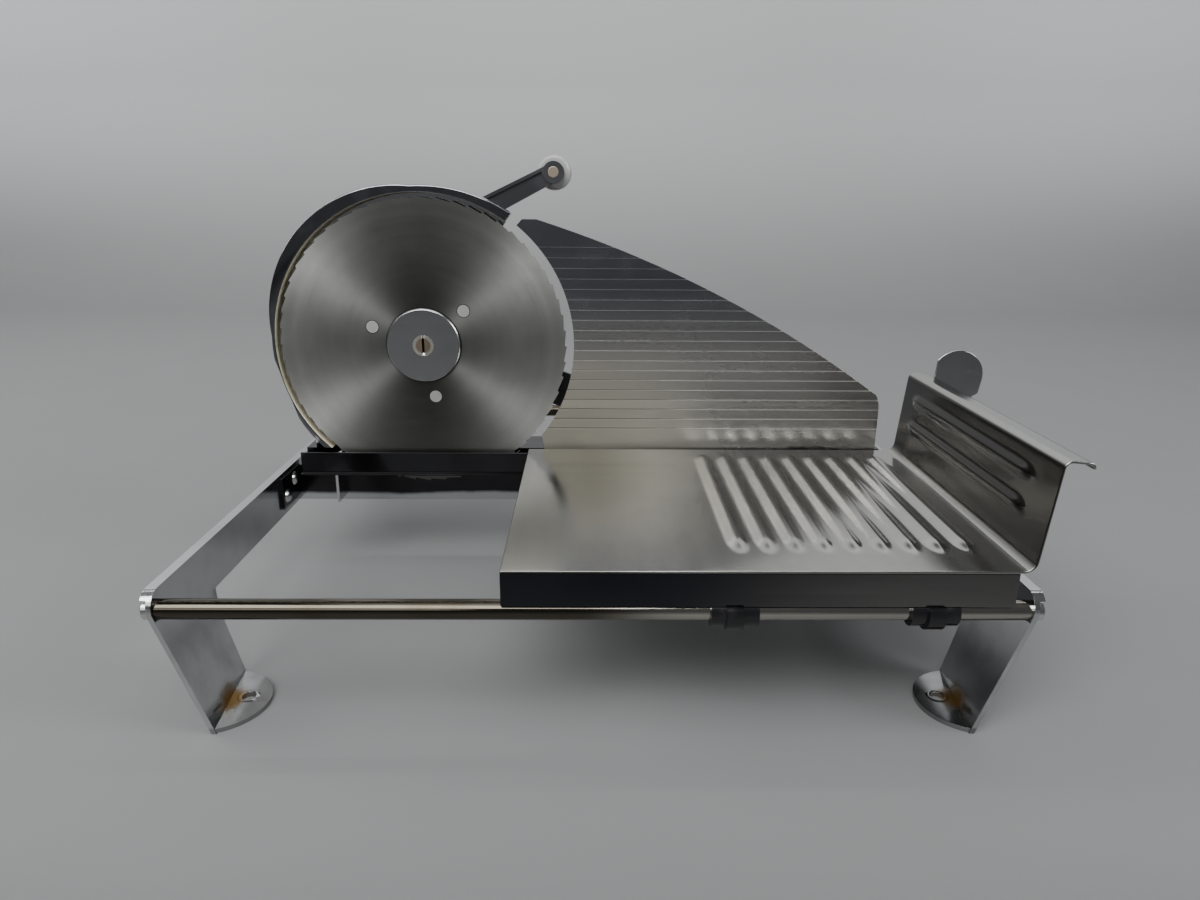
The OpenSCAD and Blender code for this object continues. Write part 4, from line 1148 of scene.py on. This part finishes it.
@dataclass
class Carriage(Assembly):
    """The sliding tray with its wall, apron, clips, shoes and thumb guard.

    Attributes:
        sheet: Thickness of the tray's sheet.
        fold: Outer radius of the fold between floor and wall.
        fold_x: Where that fold begins.
        lean_deg: Outward lean of the wall.
        wall: Length of the wall's flat between its two folds.
        lip_fold: Outer radius of the fold between wall and lip.
        lip: Outward reach of the lip.
        lip_end: Radius of the lip's turned-down edge.
        floor_ribs: Number of ribs pressed in the floor.
        first_rib: The first rib's place across.
        pitch: Distance between the floor's ribs.
        rib_half: Half the width of a rib.
        rib_rise: Height of a rib.
        rib_flat: How much of a rib's width is level on top, from 0 to 1.
        rib_taper: How fast a rib falls off at its ends, against its sides.
        rib_margin: Distance of the ribs' ends from the tray's ends.
        rib_shift: How far back of the tray's middle the ribs lie.
        wall_ribs: Heights of the wall's ribs over its fold.
        wall_rib_half: Half the width of a wall rib.
        wall_rib_inset: Distance of a wall rib's end centres from the floor ribs' front and back ends.
        steps: Grid steps of the sheet across and along.
        edge: Width and facets of the rounding on the sheet's edges.
    """

    rounded: dict[str, tuple[float, int]] = field(default_factory=lambda: {
        "carriage_apron": (0.35 * MM, 2),
        "guide_clips": (0.9 * MM, 3),
        "rail_shoes": (0.6 * MM, 2),
        "thumb_guard": (0.5 * MM, 3),
    })
    sheet: float = 1.2 * MM
    fold: float = 7.0 * MM
    fold_x: float = 201.0 * MM
    lean_deg: float = 5.5
    wall: float = 46.0 * MM
    lip_fold: float = 4.0 * MM
    lip: float = 12.0 * MM
    lip_end: float = 3.0 * MM
    floor_ribs: int = 9
    first_rib: float = 72.0 * MM
    pitch: float = 14.3 * MM
    rib_half: float = 6.2 * MM
    rib_rise: float = 2.2 * MM
    rib_flat: float = 0.12
    rib_taper: float = 0.38
    rib_margin: float = 25.0 * MM
    rib_shift: float = 5.0 * MM
    wall_ribs: tuple[float, ...] = (18.0 * MM, 35.0 * MM)
    wall_rib_half: float = 5.0 * MM
    wall_rib_inset: tuple[float, float] = (3.0 * MM, 7.0 * MM)
    steps: tuple[int, int] = (260, 96)
    edge: tuple[float, int] = (0.45 * MM, 3)

    @property
    def turn(self) -> float:
        """Angle of the fold between floor and wall."""
        return math.pi / 2 - math.radians(self.lean_deg)

    @property
    def inner(self) -> float:
        """Inner radius of that fold."""
        return self.fold - self.sheet

    def _bump(self, across: float, along: float, start: float, end: float, half: float) -> float:
        """Height from 0 to 1 of one round-ended rib at a point.

        Args:
            across: Distance from the rib's middle line.
            along: The point's place along the rib.
            start: Where the rib's end circle is centred at its front.
            end: The same at its back.
            half: Half the rib's width.

        Returns:
            A smooth height that is 0 outside the rib.
        """
        beyond = max(start - along, 0.0, along - end)
        reach = math.hypot(across, beyond * self.rib_taper) / half
        distance = (reach - self.rib_flat) / (1.0 - self.rib_flat)
        return 0.5 + 0.5 * math.cos(math.pi * min(max(distance, 0.0), 1.0))

    def _upper(self, reach: float) -> tuple[float, float, float, float]:
        """A point on the wall or the lip, as if the wall stood upright on the fold's middle line.

        Args:
            reach: Distance along the sheet from the wall's foot.

        Returns:
            X, Z, and the face's normal in X and Z.
        """
        bend = self.lip_fold * math.pi / 2
        flat = self.lip - self.lip_fold
        if reach <= self.wall:
            return self.inner, reach, -1.0, 0.0
        if reach <= self.wall + bend:
            angle = math.pi - (reach - self.wall) / self.lip_fold
            nx, nz = math.cos(angle), math.sin(angle)
            x = self.inner + self.lip_fold + self.lip_fold * nx
            return x, self.wall + self.lip_fold * nz, nx, nz
        if reach <= self.wall + bend + flat:
            x = self.inner + self.lip_fold + reach - self.wall - bend
            return x, self.wall + self.lip_fold, 0.0, 1.0
        angle = math.pi / 2 - (reach - self.wall - bend - flat) / self.lip_end
        nx, nz = math.cos(angle), math.sin(angle)
        x = self.inner + self.lip + self.lip_end * nx
        return x, self.wall + self.lip_fold - self.lip_end + self.lip_end * nz, nx, nz

    def _section(self, reach: float, low: Vector) -> tuple[float, float, float, float]:
        """A point on the sheet's upper face, and the direction square to it.

        Args:
            reach: Distance along the sheet from its left edge.
            low: Left end of the floor's upper face.

        Returns:
            X, Z, and the face's normal in X and Z.
        """
        floor = self.fold_x - low.x
        if reach <= floor:
            return low.x + reach, low.z, 0.0, 1.0
        reach -= floor
        centre_z = low.z + self.inner
        if reach <= self.inner * self.turn:
            angle = -math.pi / 2 + reach / self.inner
            cos, sin = math.cos(angle), math.sin(angle)
            return self.fold_x + self.inner * cos, centre_z + self.inner * sin, -cos, -sin
        x, z, nx, nz = self._upper(reach - self.inner * self.turn)
        lean = math.radians(self.lean_deg)
        cos, sin = math.cos(lean), math.sin(lean)
        out, up = self.fold_x + x * cos + z * sin, centre_z - x * sin + z * cos
        return out, up, nx * cos + nz * sin, -nx * sin + nz * cos

    def tray(self) -> None:
        """Presses the tray from one sheet: floor, fold, wall, lip and ribs."""
        low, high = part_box("tray")
        start = Vector((low.x, 0.0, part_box("carriage_apron")[1].z + self.sheet))
        wall_foot = self.fold_x - low.x + self.inner * self.turn
        length = (
            wall_foot + self.wall + self.lip_fold * math.pi / 2 + self.lip - self.lip_fold
            + self.lip_end * math.pi / 2
        )
        front = low.y + self.rib_margin + self.rib_shift
        back = high.y - self.rib_margin + self.rib_shift
        work = bmesh.new()
        bmesh.ops.create_grid(work, x_segments=self.steps[0], y_segments=self.steps[1], size=0.5)
        for vert in work.verts:
            reach, along = (vert.co.x + 0.5) * length, low.y + (vert.co.y + 0.5) * (high.y - low.y)
            x, z, nx, nz = self._section(reach, start)
            if x < self.fold_x:
                offsets = [x - self.first_rib - i * self.pitch for i in range(self.floor_ribs)]
                rise = self._bump(
                    min(offsets, key=abs), along, front + self.rib_half, back - self.rib_half, self.rib_half
                )
            else:
                starts, ends = front + self.wall_rib_inset[0], back - self.wall_rib_inset[1]
                rise = max(
                    self._bump(reach - wall_foot - height, along, starts, ends, self.wall_rib_half)
                    for height in self.wall_ribs
                )
            vert.co = (x + nx * rise * self.rib_rise, along, z + nz * rise * self.rib_rise)
        bmesh.ops.recalc_face_normals(work, faces=work.faces)
        leftmost = min(work.faces, key=lambda f: f.calc_center_median().x)
        if leftmost.normal.z < 0:
            bmesh.ops.reverse_faces(work, faces=work.faces)
        sheet = bmesh.ops.solidify(work, geom=work.faces[:], thickness=self.sheet)
        LOG.info("tray_sheet: %d parts of its lower face", len(sheet["geom"]))
        round_edges(work, *self.edge, angle_deg=60.0)
        publish(work, "tray_sheet", "tray")

    def build(self) -> None:
        """Builds all of it."""
        super().build()
        self.tray()


# ---------------------------------------------------------------- thickness plate


@dataclass
class ThicknessPlate(Assembly):
    """The grooved plate, its slide and its adjuster."""

    rounded: dict[str, tuple[float, int]] = field(default_factory=lambda: {
        "gauge_plate": (0.07 * MM, 1),
        "gauge_support": (0.4 * MM, 2),
        "plate_carrier": (0.4 * MM, 2),
        "adjuster_knob": (0.6 * MM, 3),
        "knob_screw": (0.3 * MM, 2),
    })
    plain: tuple[str, ...] = ("support_screws", "guide_pins", "adjuster_spindle")


# ---------------------------------------------------------------- surroundings


@dataclass
class Studio:
    """Floor, backdrop, lights and camera.

    Attributes:
        eye: The camera's place.
        pitch_deg: How far the camera looks down.
        yaw_deg: How far it looks to the right.
        roll_deg: How far its right side is raised.
        lens_mm: Focal length on a 36 mm sensor.
        sweep_y: Where the floor starts to turn up into the backdrop.
        bend: Radius of that turn.
        room: The colour of the dim room around.
    """

    eye: tuple[float, float, float] = (-0.00285, -0.5511, 0.258)
    pitch_deg: float = 17.22
    yaw_deg: float = 0.72
    roll_deg: float = 0.40
    lens_mm: float = 24.96
    sweep_y: float = 1.3
    bend: float = 0.7
    room: Colour = (0.1, 0.103, 0.108)

    def camera(self) -> None:
        """Places the camera."""
        data = bpy.data.cameras.new("camera")
        data.sensor_width = 36.0
        data.lens = self.lens_mm
        data.clip_start = 0.01
        item = bpy.data.objects.new("camera", data)
        bpy.context.collection.objects.link(item)
        turn = (
            Matrix.Rotation(math.radians(-self.yaw_deg), 4, "Z")
            @ Matrix.Rotation(math.radians(90.0 - self.pitch_deg), 4, "X")
            @ Matrix.Rotation(math.radians(self.roll_deg), 4, "Z")
        )
        item.matrix_world = Matrix.Translation(self.eye) @ turn
        bpy.context.scene.camera = item

    def floor(self) -> None:
        """Makes the floor, which turns up into the backdrop in one sweep."""
        work = bmesh.new()
        start = work.verts.new((-4.0, -2.6, 0.0))
        corner = bmesh.ops.extrude_vert_indiv(work, verts=[start])["verts"][0]
        corner.co.y = self.sweep_y
        bmesh.ops.spin(
            work, geom=[corner], cent=(0.0, self.sweep_y, self.bend), axis=(1.0, 0.0, 0.0),
            angle=math.radians(78.0), steps=24, use_duplicate=False,
        )
        top = max(work.verts, key=lambda v: v.co.z)
        rise = bmesh.ops.extrude_vert_indiv(work, verts=[top])["verts"][0]
        rise.co += Vector((0.0, 0.3, 2.4))
        swept = bmesh.ops.extrude_edge_only(work, edges=work.edges[:])
        bmesh.ops.translate(
            work, verts=[v for v in swept["geom"] if isinstance(v, bmesh.types.BMVert)], vec=(8.0, 0.0, 0.0)
        )
        bmesh.ops.recalc_face_normals(work, faces=work.faces[:])
        mesh = bpy.data.meshes.new("floor")
        work.to_mesh(mesh)
        work.free()
        mesh.shade_smooth()
        item = bpy.data.objects.new("floor", mesh)
        bpy.context.collection.objects.link(item)
        item.data.materials.append(self.paper().material)

    def paper(self) -> Shader:
        """The pale paper of floor and backdrop, with painted light that makes the backdrop and its sides
        paler than the floor, and a painted shadow on the floor ahead of its front edge.
        """
        shader = Shader("paper")
        height = shader.axis("Z")
        pale = shader.blend((0.175, 0.177, 0.179), (0.19, 0.192, 0.194), shader.noise(9.0, 4.0))
        # Painted light: the backdrop is made paler than the floor.
        pale = shader.blend(pale, (0.4, 0.405, 0.41), height.ramp(-0.1, 0.6))
        # Painted light: paler towards the sides, high up.
        sides = shader.axis("X").math("ABSOLUTE").ramp(0.5, 2.0) * height.ramp(0.1, 0.7)
        pale = shader.blend(pale, (0.62, 0.63, 0.65), sides)
        # Painted shadow on the floor ahead.
        ahead = 1.0 - shader.axis("Y").ramp(-0.45, -0.25)
        shader.set(Base_Color=shader.blend(pale, (0.06, 0.06, 0.063), ahead), Roughness=0.75)
        return shader

    def lamp(
        self,
        name: str,
        place: Sequence[float],
        target: Sequence[float],
        size: tuple[float, float],
        power: float,
        colour: Colour = (1.0, 1.0, 1.0),
    ) -> None:
        """Adds one soft rectangular light.

        Args:
            name: The light's name.
            place: Its middle.
            target: The point it faces.
            size: Its width and height in metres.
            power: Its power in watts.
            colour: Its tint.
        """
        data = bpy.data.lights.new(name, "AREA")
        data.shape = "RECTANGLE"
        data.size, data.size_y = size
        data.energy = power
        data.color = colour
        item = bpy.data.objects.new(name, data)
        bpy.context.collection.objects.link(item)
        item.location = place
        item.rotation_mode = "QUATERNION"
        item.rotation_quaternion = (Vector(target) - Vector(place)).to_track_quat("-Z", "Y")

    def lights(self) -> None:
        """Sets soft light from above and both sides, in a dim room."""
        world = bpy.data.worlds.new("room")
        bpy.context.scene.world = world
        world.use_nodes = True
        background = world.node_tree.nodes["Background"]
        background.inputs["Color"].default_value = (*self.room, 1.0)
        background.inputs["Strength"].default_value = 1.0
        self.lamp("front_top", (-0.5, -1.3, 1.55), (0.05, 0.05, 0.05), (1.6, 1.0), 40.0)
        self.lamp("front_low", (-0.8, -1.7, 0.8), (-0.1, 0.0, 0.15), (1.0, 0.5), 3.2)
        self.lamp("ceiling", (0.1, -0.5, 2.0), (0.05, -0.25, 0.0), (1.6, 1.0), 10.0)
        self.lamp("backdrop", (-0.5, 0.9, 2.5), (-0.5, 2.3, 1.7), (5.2, 0.5), 95.0)
        self.lamp("window", (-1.4, 0.25, 1.05), (0.1, 0.0, 0.1), (0.6, 0.9), 8.5, (1.0, 0.99, 0.97))
        self.lamp("right_side", (1.5, -0.5, 1.0), (0.0, 0.0, 0.1), (0.7, 0.7), 14.0, (0.97, 0.98, 1.0))

    def build(self) -> None:
        """Builds all of it."""
        self.floor()
        self.lights()
        self.camera()


def main() -> None:
    """Builds the looks in order."""
    logging.basicConfig(level=logging.INFO, format="%(name)s: %(message)s")
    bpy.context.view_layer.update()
    build_finishes()
    Studio().build()
    for assembly in (Stand(), Housing(), BladeUnit(), Crank(), Carriage(), ThicknessPlate()):
        LOG.info("building %s", type(assembly).__name__)
        assembly.build()


if __name__ == "__main__":
    main()
